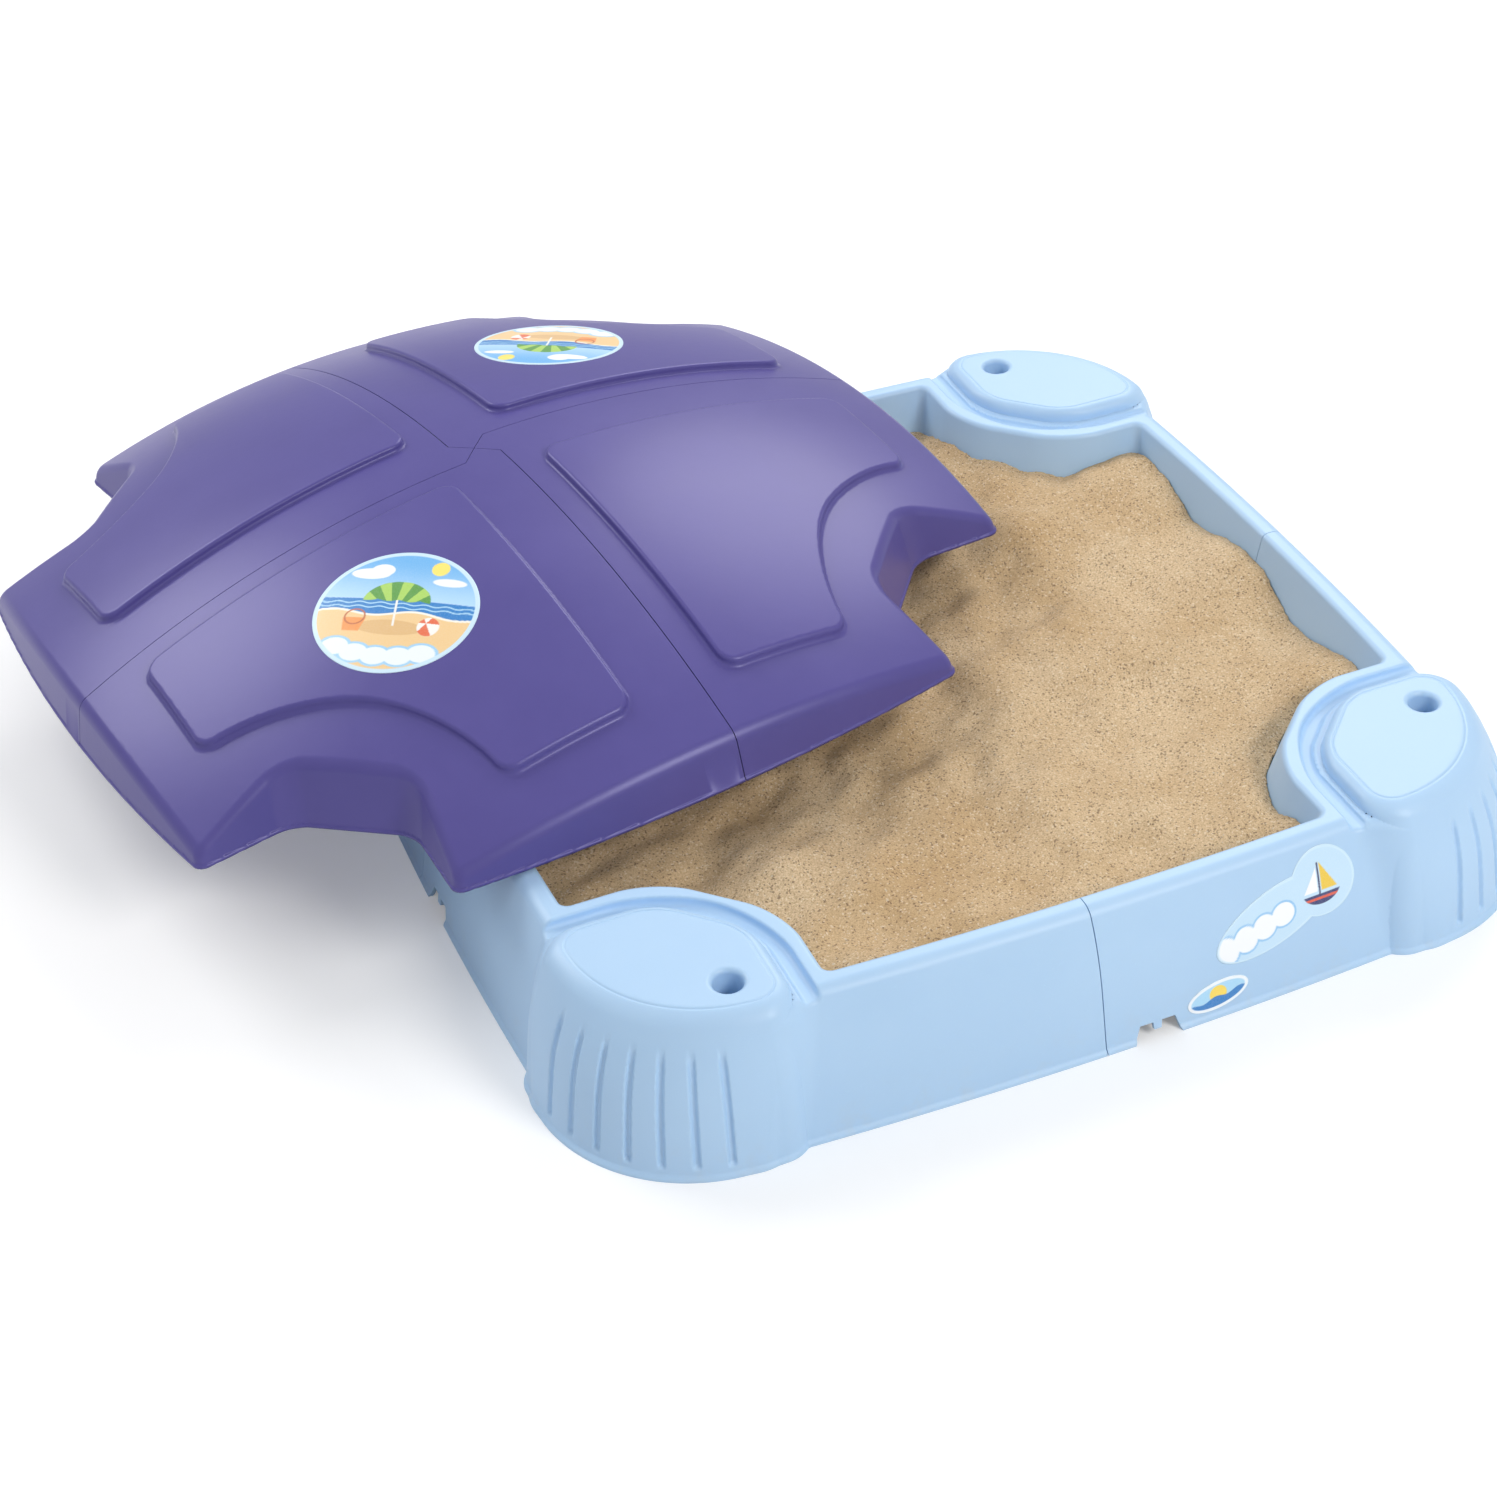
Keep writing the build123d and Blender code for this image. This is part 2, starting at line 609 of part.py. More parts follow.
hub_shape = cover_hub()
with BuildPart() as lid_hub:
    add(hub_shape.moved(COVER_PLACE))
lid_hub.part.label = "lid_hub"
export_step(lid_hub.part, "parts/lid_hub.step")

screw_shapes = [cover_screw(*spot) for spot in BOSSES]
with BuildPart() as lid_screws:
    for screw_shape in screw_shapes:
        for quarters in range(4):
            add(screw_shape.rotate(Axis.Z, 90 * quarters).moved(COVER_PLACE))
lid_screws.part.label = "lid_screws"
export_step(lid_screws.part, "parts/lid_screws.step")

front_film = cover_sticker(-STICKER_AT, -STICKER_AT)
with BuildPart() as lid_sticker_front:
    add(front_film.moved(COVER_PLACE))
lid_sticker_front.part.label = "lid_sticker_front"
export_step(lid_sticker_front.part, "parts/lid_sticker_front.step")

back_film = cover_sticker(STICKER_AT, STICKER_AT)
with BuildPart() as lid_sticker_back:
    add(back_film.moved(COVER_PLACE))
lid_sticker_back.part.label = "lid_sticker_back"
export_step(lid_sticker_back.part, "parts/lid_sticker_back.step")
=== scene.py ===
"""Looks for a square play sandbox: moulded tray and cover, loose sand, stickers, floor, lights, camera.

The moulded shapes are distance fields in millimetres (negative inside), written once for the front corner
of the tray and of the cover, meshed by surface nets, eased onto the exact surface and turned for the other
corners.
"""
import math

import bmesh
import bpy
import numpy as np
from mathutils import Euler, Matrix, Vector


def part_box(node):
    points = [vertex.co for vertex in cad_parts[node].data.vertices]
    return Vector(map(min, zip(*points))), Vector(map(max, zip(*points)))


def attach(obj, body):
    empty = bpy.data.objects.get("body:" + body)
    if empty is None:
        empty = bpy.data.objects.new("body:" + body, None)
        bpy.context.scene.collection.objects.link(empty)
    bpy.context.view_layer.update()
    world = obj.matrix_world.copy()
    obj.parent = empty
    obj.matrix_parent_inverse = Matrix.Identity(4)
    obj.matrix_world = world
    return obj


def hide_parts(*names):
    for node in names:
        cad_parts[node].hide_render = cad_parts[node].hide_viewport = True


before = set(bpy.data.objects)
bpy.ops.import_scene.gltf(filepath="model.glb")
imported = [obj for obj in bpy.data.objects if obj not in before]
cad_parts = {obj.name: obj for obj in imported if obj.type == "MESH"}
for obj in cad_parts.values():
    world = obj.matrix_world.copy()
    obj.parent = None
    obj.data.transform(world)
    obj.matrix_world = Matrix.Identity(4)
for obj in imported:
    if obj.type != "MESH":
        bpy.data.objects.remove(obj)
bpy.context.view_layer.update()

MM = 0.001                   # one millimetre in metres
CORNERS = ("front", "right", "back", "left")
DIAGONAL = 0.7071            # one over the root of two


def box_mm(node):
    """Lowest and highest corner of a CAD node, in millimetres."""
    low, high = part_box(node)
    return Vector(low) / MM, Vector(high) / MM


# ---------------------------------------------------------------- sizes, millimetres
front_low, front_high = box_mm("base_quadrant_front")
SEAT_H = front_high.z        # top of the corner seats
FOOT = -front_low.y          # reach of the walls' feet from the middle
RIM_H = SEAT_H - 10          # rim of the walls
SKIN = 4                     # thickness of every moulded wall
SEAM_GAP = 0.5               # half the gap at a seam
TRAY_SEAM = 6                # seams of the tray, from the middle of each side
COVER_SEAM = 20              # seams of the cover, from its middle lines
FLOOR_T = 4
SNAP = 0.3                   # how far a cut pulls the points beside it

BOW_RADIUS = 4450            # plan radius of the tray walls
WALL_REACH = FOOT - 3        # outer face at the ground, without the flare
FLARE = 2.5                  # small flare at the foot
CURL = 0.00019               # how fast the upper wall curls inward
INNER_FOOT = FOOT - 93       # inner face of the walls at the ground
LEAN_IN = 0.2                # lean of the walls' faces

SEAT_END = 34                # plan radius where the round corner meets the sides
SEAT_ROUND = 156             # plan radius of the seats' outer corner
SEAT_SIDE = 285              # sides of a seat above the rim
SEAT_CHAMFER = 639           # sum of the distances at a seat's cut corner
SEAT_EDGE = 12               # rounding of the seat top
LIP = 250                    # sand side of the lip round each seat
LIP_CHAMFER = 590
LIP_SPREAD = 28              # how much the lip's wall spreads by the floor
GROOVE_MID = 272
GROOVE_HALF = 8
GROOVE_Z = RIM_H - 9
FLUTE_TURN = 11              # degrees between flutes
FLUTE_COUNT = 7
SEAT_CENTRE = 334            # centre of a seat's round corner
HOLE_X, HOLE_Y, HOLE_R = -334, -415, 14
HOLE_FLOOR = 90
NOTCH_Y = -47                # middle of the clip opening at the foot of the left wall
NOTCH_HALF, NOTCH_TOP = 24, 17
NOTCH_LEAN = 0.35            # how fast the opening narrows as it rises
TOOTH_HALF, TOOTH_FOOT = 3.6, 9
TOOTH_LEAN = 0.12            # how fast the tooth widens as it rises
ENGRAVING_IN = 12            # engraved line, from the sides of the seat top

COVER_REACH = 472            # middle of the cover's sides, at the bottom edge
COVER_BOW = 1985
COVER_LEAN = 0.22
COVER_NOTCH = 268
COVER_NOTCH_CUT = 621
APEX = 149                   # crown over the bottom edge
CROWN_R = 1106
PANEL_RISE = 8
PANEL_IN, PANEL_OUT = 50, 400
PANEL_ROUND = 3.6            # rounding along the top and the foot of a panel's sides
NOTCH_ROUND = 14             # upright creases inside a notch
TIP_ROUND = 10               # upright edges beside a notch
BROW_ROUND = 7               # edge between the crown and the skirts
HUB_DROP = 19.3              # crown at the hub's screws to the middle of the hub plate
COVER_TURN = Euler([math.radians(a) for a in (-1.66, -1.48, 9.47)], "XYZ").to_matrix()


# ---------------------------------------------------------------- field tools
def round_max(a, b, r):
    """Overlap of two shapes, its edge rounded to radius r."""
    return np.minimum(-r, np.maximum(a, b)) + np.hypot(np.maximum(a + r, 0), np.maximum(b + r, 0))


def round_min(a, b, r):
    """Two shapes joined with a fillet of radius r."""
    return -round_max(-a, -b, r)


def ease(value, start, stop):
    """Smooth step from 0 at start to 1 at stop."""
    t = np.clip((value - start) / (stop - start), 0, 1)
    return t * t * (3 - 2 * t)


def bowed(along, away, radius, reach):
    """Distance past a bowed side of the square, facing -away."""
    return np.hypot(along, away - (radius - reach)) - radius


def corner_cut(x, y, side, cut, r):
    """Corner beyond x < -side and y < -side, its inner corner cut at x + y = -cut."""
    return round_max(round_max(x + side, y + side, r), (x + y + cut) * DIAGONAL, r)


def lattice(low, high, step):
    return [np.arange(a, b + step, step, dtype=np.float32) for a, b in zip(low, high)]


def surface_net(field, low, high, step):
    """Quads round field = 0: one vertex in each crossed cell, at the mean of its edge crossings."""
    value = field(*np.meshgrid(*lattice(low, high, step), indexing="ij"))
    size = value.shape
    cells, spots, quads_flip = [], [], []
    for axis in range(3):
        first = np.moveaxis(value, axis, 0)[:-1]
        second = np.moveaxis(value, axis, 0)[1:]
        found = np.moveaxis((first < 0) != (second < 0), 0, axis)
        index = np.stack(np.nonzero(found), 1)
        a = value[tuple(index.T)]
        ahead = index.copy()
        ahead[:, axis] += 1
        b = value[tuple(ahead.T)]
        spot = index.astype(np.float64)
        spot[:, axis] += a / (a - b)
        one, two = (axis + 1) % 3, (axis + 2) % 3
        ring = []
        for step_one, step_two in ((0, 0), (1, 0), (1, 1), (0, 1)):
            cell = index.copy()
            cell[:, one] -= step_one
            cell[:, two] -= step_two
            ring.append((cell[:, 0] * size[1] + cell[:, 1]) * size[2] + cell[:, 2])
        cells.append(np.stack(ring, 1))
        spots.append(np.repeat(spot, 4, axis=0))
        quads_flip.append(a > 0)
    cells = np.concatenate(cells)
    spots = np.concatenate(spots)
    flip = np.concatenate(quads_flip)
    _, owner = np.unique(cells.ravel(), return_inverse=True)
    owner = owner.ravel()
    count = np.bincount(owner)
    points = np.stack([np.bincount(owner, spots[:, k]) / count for k in range(3)], 1) * step + np.array(low)
    quads = owner.reshape(-1, 4)
    quads[flip] = quads[flip][:, ::-1]
    return points, quads


def slope(field, points, reach=0.35):
    """Gradient of the field at the points."""
    parts = []
    for axis in range(3):
        move = np.zeros(3)
        move[axis] = reach
        parts.append(field(*(points + move).T) - field(*(points - move).T))
    return np.stack(parts, 1) / (2 * reach)


def settle(field, points, farthest, rounds=3):
    """Eases the points onto field = 0."""
    for _ in range(rounds):
        grade = slope(field, points)
        shift = field(*points.T) / np.maximum((grade**2).sum(1), 0.3)
        points = points - grade * np.clip(shift, -farthest, farthest)[:, None]
    return points


# ---------------------------------------------------------------- meshes
def mesh_from(name, points, faces):
    """Mesh from an array of points and an array of equal faces."""
    mesh = bpy.data.meshes.new(name)
    corners = faces.shape[1]
    mesh.vertices.add(len(points))
    mesh.vertices.foreach_set("co", np.asarray(points, np.float32).ravel())
    mesh.loops.add(faces.size)
    mesh.loops.foreach_set("vertex_index", faces.astype(np.int32).ravel())
    mesh.polygons.add(len(faces))
    mesh.polygons.foreach_set("loop_start", np.arange(0, faces.size, corners, dtype=np.int32))
    mesh.update(calc_edges=True)
    mesh.validate()
    return mesh


def mesh_points(mesh):
    points = np.empty(len(mesh.vertices) * 3, np.float32)
    mesh.vertices.foreach_get("co", points)
    return points.reshape(-1, 3).astype(np.float64)


def thinned(mesh, keep):
    """The mesh with its flat stretches thinned to a share of its faces."""
    worker = bpy.data.objects.new("worker", mesh)
    bpy.context.scene.collection.objects.link(worker)
    modifier = worker.modifiers.new("thin", "DECIMATE")
    modifier.ratio = keep
    graph = bpy.context.evaluated_depsgraph_get()
    result = bpy.data.meshes.new_from_object(worker.evaluated_get(graph))
    bpy.data.objects.remove(worker)
    return result


def refined(mesh, field, fine):
    """Splits the faces where fine(x, y, z) is true, for a feature narrower than the lattice."""
    work = bmesh.new()
    work.from_mesh(mesh)
    wanted = fine(*mesh_points(mesh).T)
    edges = [e for e in work.edges if wanted[e.verts[0].index] and wanted[e.verts[1].index]]
    bmesh.ops.subdivide_edges(work, edges=edges, cuts=2, use_grid_fill=True)
    bmesh.ops.triangulate(work, faces=[f for f in work.faces if len(f.verts) > 4])
    work.to_mesh(mesh)
    work.free()
    points = settle(field, mesh_points(mesh), 0.5, rounds=2)
    mesh.vertices.foreach_set("co", points.astype(np.float32).ravel())
    return mesh


def shaped(name, field, low, high, step, keep, fine=None):
    """Open or closed mesh of field = 0, in millimetres."""
    points, quads = surface_net(field, low, high, step)
    points = settle(field, points, step * 0.4)
    mesh = mesh_from(name, points, quads)
    if fine:
        mesh = refined(mesh, field, fine)
    if keep < 1:
        mesh = thinned(mesh, keep)
        points = settle(field, mesh_points(mesh), step * 0.3, rounds=2)
        mesh.vertices.foreach_set("co", points.astype(np.float32).ravel())
    return mesh


def trimmed(mesh, planes, outside, zone=None):
    """Cuts the mesh along planes and drops the faces whose middle is outside. zone limits the cutting."""
    work = bmesh.new()
    work.from_mesh(mesh)
    for spot, normal in planes:
        spot, normal = Vector(spot), Vector(normal).normalized()
        faces = [f for f in work.faces if zone is None or zone(*f.calc_center_median())]
        geometry = {item for f in faces for item in (*f.verts, *f.edges)} | set(faces)
        bmesh.ops.bisect_plane(work, geom=list(geometry), dist=SNAP, plane_co=spot, plane_no=normal)
        for vert in {v for f in faces if f.is_valid for v in f.verts}:
            away = (vert.co - spot).dot(normal)
            if abs(away) < SNAP:
                vert.co -= normal * away
    middles = np.array([f.calc_center_median() for f in work.faces])
    gone = outside(*middles.T) > 0
    bmesh.ops.delete(work, geom=[f for f, out in zip(work.faces[:], gone) if out], context="FACES")
    work.to_mesh(mesh)
    work.free()
    return mesh


def thickened(mesh, thickness):
    """The open skin with its inner side and its rims."""
    worker = bpy.data.objects.new("worker", mesh)
    bpy.context.scene.collection.objects.link(worker)
    modifier = worker.modifiers.new("wall", "SOLIDIFY")
    modifier.thickness = thickness
    modifier.offset = -1
    modifier.use_even_offset = False
    graph = bpy.context.evaluated_depsgraph_get()
    result = bpy.data.meshes.new_from_object(worker.evaluated_get(graph))
    bpy.data.objects.remove(worker)
    return result


def grounded(mesh):
    """Lifts what the thickening pushed below the ground back onto it."""
    points = mesh_points(mesh)
    points[:, 2] = np.maximum(points[:, 2], 0)
    mesh.vertices.foreach_set("co", points.astype(np.float32).ravel())
    return mesh


def shade_from(mesh, field, inside=-1e9):
    """Shading normals from the field, turned round below the inside level, flat on cut rims.

    The mesh comes in millimetres and ends in metres.
    """
    points = mesh_points(mesh)
    smooth = slope(field, points)
    smooth /= np.linalg.norm(smooth, axis=1)[:, None] + 1e-9
    smooth[field(*points.T) < inside] *= -1
    corners = np.empty(len(mesh.loops), np.int32)
    mesh.loops.foreach_get("vertex_index", corners)
    sides = np.empty(len(mesh.polygons), np.int32)
    mesh.polygons.foreach_get("loop_total", sides)
    flat = np.empty(len(mesh.polygons) * 3, np.float32)
    mesh.polygons.foreach_get("normal", flat)
    flat = np.repeat(flat.reshape(-1, 3), sides, axis=0)
    chosen = smooth[corners]
    rim = (chosen * flat).sum(1) < 0.5
    chosen[rim] = flat[rim]
    mesh.vertices.foreach_set("co", (points * MM).astype(np.float32).ravel())
    mesh.update()
    mesh.shade_smooth()
    mesh.normals_split_custom_set(chosen)
    return mesh


def piece(name, mesh, body, material, replaced=None):
    """A finished object: rides on a body, takes its material, stands for a CAD node."""
    obj = bpy.data.objects.new(name, mesh)
    bpy.context.scene.collection.objects.link(obj)
    mesh.materials.clear()
    mesh.materials.append(material)
    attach(obj, body)
    if replaced:
        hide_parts(replaced)
    return obj


# ---------------------------------------------------------------- node materials
def new_material(name):
    material = bpy.data.materials.new(name)
    material.use_nodes = True
    tree = material.node_tree
    return material, tree, tree.nodes["Principled BSDF"]


def node(tree, kind, settings=None, **sockets):
    """Adds a shader node; a socket takes either another node's output or a plain value."""
    new = tree.nodes.new("ShaderNode" + kind)
    for key, value in (settings or {}).items():
        setattr(new, key, value)
    for key, value in sockets.items():
        target = new.inputs[int(key[1:])] if key[0] == "_" else new.inputs[key.replace("_", " ")]
        if isinstance(value, bpy.types.NodeSocket):
            tree.links.new(value, target)
        else:
            target.default_value = value
    return new


def noise(tree, vector, scale, detail=2.0, rough=0.5):
    return node(tree, "TexNoise", Vector=vector, Scale=scale, Detail=detail, Roughness=rough).outputs["Fac"]


def blend(tree, factor, first, second, kind="MIX"):
    settings = {"data_type": "RGBA", "blend_type": kind}
    return node(tree, "Mix", settings, _0=factor, _6=first, _7=second).outputs[2]


def span(tree, value, low, high, out_low=0.0, out_high=1.0):
    sockets = {"_1": low, "_2": high, "_3": out_low, "_4": out_high}
    return node(tree, "MapRange", {"clamp": True}, _0=value, **sockets).outputs[0]


def moulded_plastic(name, colour, shade, gloss, sheen=(1, 1, 1)):
    """Rotomoulded polyethylene: faint mottling, fine skin texture, scuffs, a little dust low down."""
    material, tree, shader = new_material(name)
    place = node(tree, "TexCoord").outputs["Object"]
    cloudy = span(tree, noise(tree, place, 7.0, 4.0, 0.6), 0.3, 0.7)
    tint = blend(tree, cloudy, (*shade, 1), (*colour, 1))
    specks = span(tree, noise(tree, place, 420.0, 2.0), 0.62, 0.75, 0.0, 0.10)
    tint = blend(tree, specks, tint, (*[min(1.0, c * 1.25) for c in colour], 1))
    height = node(tree, "SeparateXYZ", _0=place).outputs["Z"]
    low_down = span(tree, height, 0.0, 0.05, 1.0, 0.0)
    patches = span(tree, noise(tree, place, 38.0, 5.0, 0.65), 0.5, 0.75, 0.0, 0.16)
    dust = node(tree, "Math", {"operation": "MULTIPLY"}, _0=low_down, _1=patches).outputs[0]
    tint = blend(tree, dust, tint, (0.60, 0.52, 0.40, 1))
    tree.links.new(tint, shader.inputs["Base Color"])
    stretched = node(tree, "Mapping", Vector=place, Scale=(3.0, 60.0, 9.0)).outputs[0]
    scuffs = span(tree, noise(tree, stretched, 22.0, 6.0, 0.7), 0.58, 0.72, 0.0, 0.09)
    clean_rough = span(tree, cloudy, 0, 1, gloss, gloss + 0.05)
    rough = node(tree, "Math", {"operation": "ADD"}, _0=scuffs, _1=clean_rough)
    tree.links.new(rough.outputs[0], shader.inputs["Roughness"])
    skin = noise(tree, place, 1500.0, 2.0)
    peel = noise(tree, place, 90.0, 3.0)
    fine = node(tree, "Bump", Height=skin, Strength=0.10, Distance=0.0002).outputs[0]
    both = node(tree, "Bump", Height=peel, Strength=0.12, Distance=0.0006, Normal=fine).outputs[0]
    tree.links.new(both, shader.inputs["Normal"])
    shader.inputs["IOR"].default_value = 1.5
    shader.inputs["Specular Tint"].default_value = (*sheen, 1)
    shader.inputs["Subsurface Weight"].default_value = 0.12
    shader.inputs["Subsurface Radius"].default_value = (0.004, 0.005, 0.006)
    shader.inputs["Subsurface Scale"].default_value = 1.0
    return material


def sand_material():
    """Dry play sand: tan grains with dark and pale specks."""
    material, tree, shader = new_material("dry_sand")
    place = node(tree, "TexCoord").outputs["Object"]
    drift = span(tree, noise(tree, place, 6.0, 4.0, 0.6), 0.35, 0.65)
    base = blend(tree, drift, (0.62, 0.43, 0.235, 1), (0.80, 0.62, 0.405, 1))
    grain = span(tree, noise(tree, place, 620.0, 3.0, 0.75), 0.30, 0.60)
    base = blend(tree, grain, (0.42, 0.27, 0.135, 1), base)
    cell = node(tree, "TexVoronoi", {"feature": "F1"}, Vector=place, Scale=620.0)
    pick = node(tree, "SeparateColor", _0=cell.outputs["Color"])
    dark = span(tree, pick.outputs[0], 0.91, 0.94, 0.0, 0.65)
    pale = span(tree, pick.outputs[1], 0.92, 0.95, 0.0, 0.55)
    base = blend(tree, dark, base, (0.14, 0.08, 0.045, 1))
    base = blend(tree, pale, base, (0.86, 0.74, 0.56, 1))
    tree.links.new(base, shader.inputs["Base Color"])
    shader.inputs["Roughness"].default_value = 0.9
    shader.inputs["Specular IOR Level"].default_value = 0.3
    rubble = noise(tree, place, 380.0, 4.0, 0.75)
    lumps = noise(tree, place, 60.0, 4.0, 0.6)
    fine = node(tree, "Bump", Height=rubble, Strength=0.9, Distance=0.0016).outputs[0]
    both = node(tree, "Bump", Height=lumps, Strength=0.5, Distance=0.004, Normal=fine).outputs[0]
    tree.links.new(both, shader.inputs["Normal"])
    return material


def printed_film():
    """Glossy vinyl sticker: the picture is painted on the mesh, with a faint print grain."""
    material, tree, shader = new_material("printed_film")
    picture = node(tree, "Attribute", {"attribute_name": "picture"}).outputs["Color"]
    place = node(tree, "TexCoord").outputs["Object"]
    grain = span(tree, noise(tree, place, 900.0, 2.0), 0.35, 0.65, 0.0, 0.07)
    tree.links.new(blend(tree, grain, picture, (1, 1, 1, 1), "SCREEN"), shader.inputs["Base Color"])
    wave = noise(tree, place, 45.0, 2.0)
    ripple = node(tree, "Bump", Height=wave, Strength=0.08, Distance=0.0006).outputs[0]
    tree.links.new(ripple, shader.inputs["Normal"])
    tree.links.new(span(tree, wave, 0.3, 0.7, 0.28, 0.36), shader.inputs["Roughness"])
    return material


def screw_steel():
    """Zinc-plated steel, faintly blotched."""
    material, tree, shader = new_material("zinc_steel")
    place = node(tree, "TexCoord").outputs["Object"]
    blotch = noise(tree, place, 300.0, 3.0)
    shader.inputs["Metallic"].default_value = 1.0
    tint = blend(tree, blotch, (0.52, 0.52, 0.50, 1), (0.70, 0.70, 0.69, 1))
    tree.links.new(tint, shader.inputs["Base Color"])
    tree.links.new(span(tree, blotch, 0.3, 0.7, 0.28, 0.45), shader.inputs["Roughness"])
    return material


# ---------------------------------------------------------------- tray
def wall_face(z):
    """Outer face of the walls at height z, from the middle, at the middle of a side."""
    flare = FLARE * (1 - ease(z, 1.5, 6.5))
    return WALL_REACH - LEAN_IN * z - CURL * np.maximum(z - 50, 0) ** 2.5 + flare


def flutes(x, y, z):
    """Depth of the upright flutes round the seat's outer corner."""
    across, away = x + SEAT_CENTRE, y + SEAT_CENTRE
    turn = np.degrees(np.arctan2(away, across)) + 135
    last = (FLUTE_COUNT - 1) / 2
    nearest = np.clip(np.round(turn / FLUTE_TURN), -last, last)
    aside = np.radians(turn - nearest * FLUTE_TURN) * np.hypot(across, away)
    window = ease(z, 9, 15) * (1 - ease(z, 106, 128))
    return 3.8 * np.exp(-((aside / 3.0) ** 4)) * window


def sand_space(x, y, z):
    """Room for the sand in the front corner: inside the walls, outside the lip."""
    inner = INNER_FOOT + LEAN_IN * z
    walls = round_max(bowed(x, y, BOW_RADIUS, 0) - inner, bowed(y, x, BOW_RADIUS, 0) - inner, 20)
    spread = LIP_SPREAD * (1 - z / RIM_H)
    lip = corner_cut(x - spread, y - spread, LIP, LIP_CHAMFER, 28)
    return round_max(walls, -lip, 9)


def seat_mark(x, y):
    """Distance in plan from the line engraved inside the edge of the seat top."""
    inner = corner_cut(x, y, SEAT_SIDE + ENGRAVING_IN, SEAT_CHAMFER + 15, 14)
    return round_max(inner, round_max(-x - 448, -y - 448, 132), 22)


def tray_solid(x, y, z):
    """The front corner as if solid, open below."""
    face = wall_face(z)
    seat_face = face + 0.08 * z
    front_arm = round_max(bowed(x, y, BOW_RADIUS, 0) - face, -x - 345, 5)
    left_arm = round_max(bowed(y, x, BOW_RADIUS, 0) - face, -y - 345, 5)
    corner = round_max(-x - seat_face, -y - seat_face, SEAT_ROUND) + flutes(x, y, z)
    side = 306 - 0.177 * z
    foot = round_max(corner, np.maximum(x, y) + side, SEAT_END)
    plan = round_min(np.minimum(front_arm, left_arm), foot, 20)
    course = corner_cut(x, y, GROOVE_MID, LIP_CHAMFER + 27, 30)
    ledge = RIM_H - 4 * ease(-course, 6, 9)
    rim = round_max(round_max(plan, z - ledge, 8), -sand_space(x, y, z), 5)
    upper = round_max(corner, corner_cut(x, y, SEAT_SIDE, SEAT_CHAMFER, 22), SEAT_END)
    line = 0.9 * np.exp(-((seat_mark(x, y) / 1.1) ** 2))
    seat = round_max(upper, z - SEAT_H + line, SEAT_EDGE)
    solid = np.minimum(rim, seat)
    channel = round_max(np.abs(course) - GROOVE_HALF, GROOVE_Z - z, 5)
    solid = round_max(solid, -channel, 3)
    hole = np.maximum(np.hypot(x - HOLE_X, y - HOLE_Y) - HOLE_R, HOLE_FLOOR - z)
    return round_max(solid, -hole, 5)


def foot_notch(x, y, z):
    """Clip opening at the foot of the left wall, with its tooth."""
    aside = np.abs(y - NOTCH_Y)
    opening = np.maximum(aside - NOTCH_HALF + NOTCH_LEAN * z, z - NOTCH_TOP)
    tooth = np.maximum(aside - TOOTH_HALF - TOOTH_LEAN * (z - TOOTH_FOOT), TOOTH_FOOT - z)
    return np.maximum(np.maximum(opening, -tooth), x + 470)


def tray_corner():
    """The hollow moulding of the front corner, between its two seams."""
    fine = lambda x, y, z: (z > SEAT_H - 3) & (np.abs(seat_mark(x, y)) < 4)
    low, high = (-FOOT - 8, -FOOT - 8, -4), (8, 8, SEAT_H + 6)
    mesh = shaped("tray", tray_solid, low, high, TRAY_STEP, KEEP, fine)
    front, left = -TRAY_SEAM - SEAM_GAP, TRAY_SEAM - SEAM_GAP
    planes = [((0, 0, 0), (0, 0, 1)), ((front, 0, 0), (1, 0, 0)), ((0, left, 0), (0, 1, 0))]
    mesh = trimmed(mesh, planes, lambda x, y, z: np.maximum(np.maximum(x - front, y - left), -z))
    planes = [((0, NOTCH_Y, NOTCH_TOP), (0, 0, 1)), ((0, NOTCH_Y, TOOTH_FOOT), (0, 0, 1))]
    for side in (-1, 1):
        planes.append(((0, NOTCH_Y + side * NOTCH_HALF, 0), (0, side, NOTCH_LEAN)))
        planes.append(((0, NOTCH_Y + side * TOOTH_HALF, TOOTH_FOOT), (0, side, -TOOTH_LEAN)))
    near = lambda x, y, z: x < -460 and abs(y - NOTCH_Y) < 80 and z < 80
    mesh = trimmed(mesh, planes, lambda x, y, z: -foot_notch(x, y, z), near)
    return shade_from(grounded(thickened(mesh, SKIN)), tray_solid, -SKIN / 2)


def floor_plate():
    """Plan outline of the front corner's floor, with its share of the middle square."""
    edge = INNER_FOOT + 2
    a, b, s = -TRAY_SEAM - SEAM_GAP, TRAY_SEAM - SEAM_GAP, TRAY_SEAM
    lip_side, lip_cut = LIP - LIP_SPREAD + 2, LIP_CHAMFER - 2 * LIP_SPREAD + 4
    return [
        (a, -edge), (a, -s), (-SEAM_GAP, -SEAM_GAP), (-s, b), (-edge, b), (-edge, -lip_side),
        (lip_side - lip_cut, -lip_side), (-lip_side, lip_side - lip_cut), (-lip_side, -edge),
    ]


def plate_mesh(name, outline, z0, z1):
    """Flat plate from a plan outline, in millimetres."""
    count = len(outline)
    points = [(x * MM, y * MM, z * MM) for z in (z0, z1) for x, y in outline]
    mesh = bpy.data.meshes.new(name)
    sides = [(k, (k + 1) % count, count + (k + 1) % count, count + k) for k in range(count)]
    mesh.from_pydata(points, [], [tuple(range(count - 1, -1, -1)), tuple(range(count, 2 * count)), *sides])
    return mesh


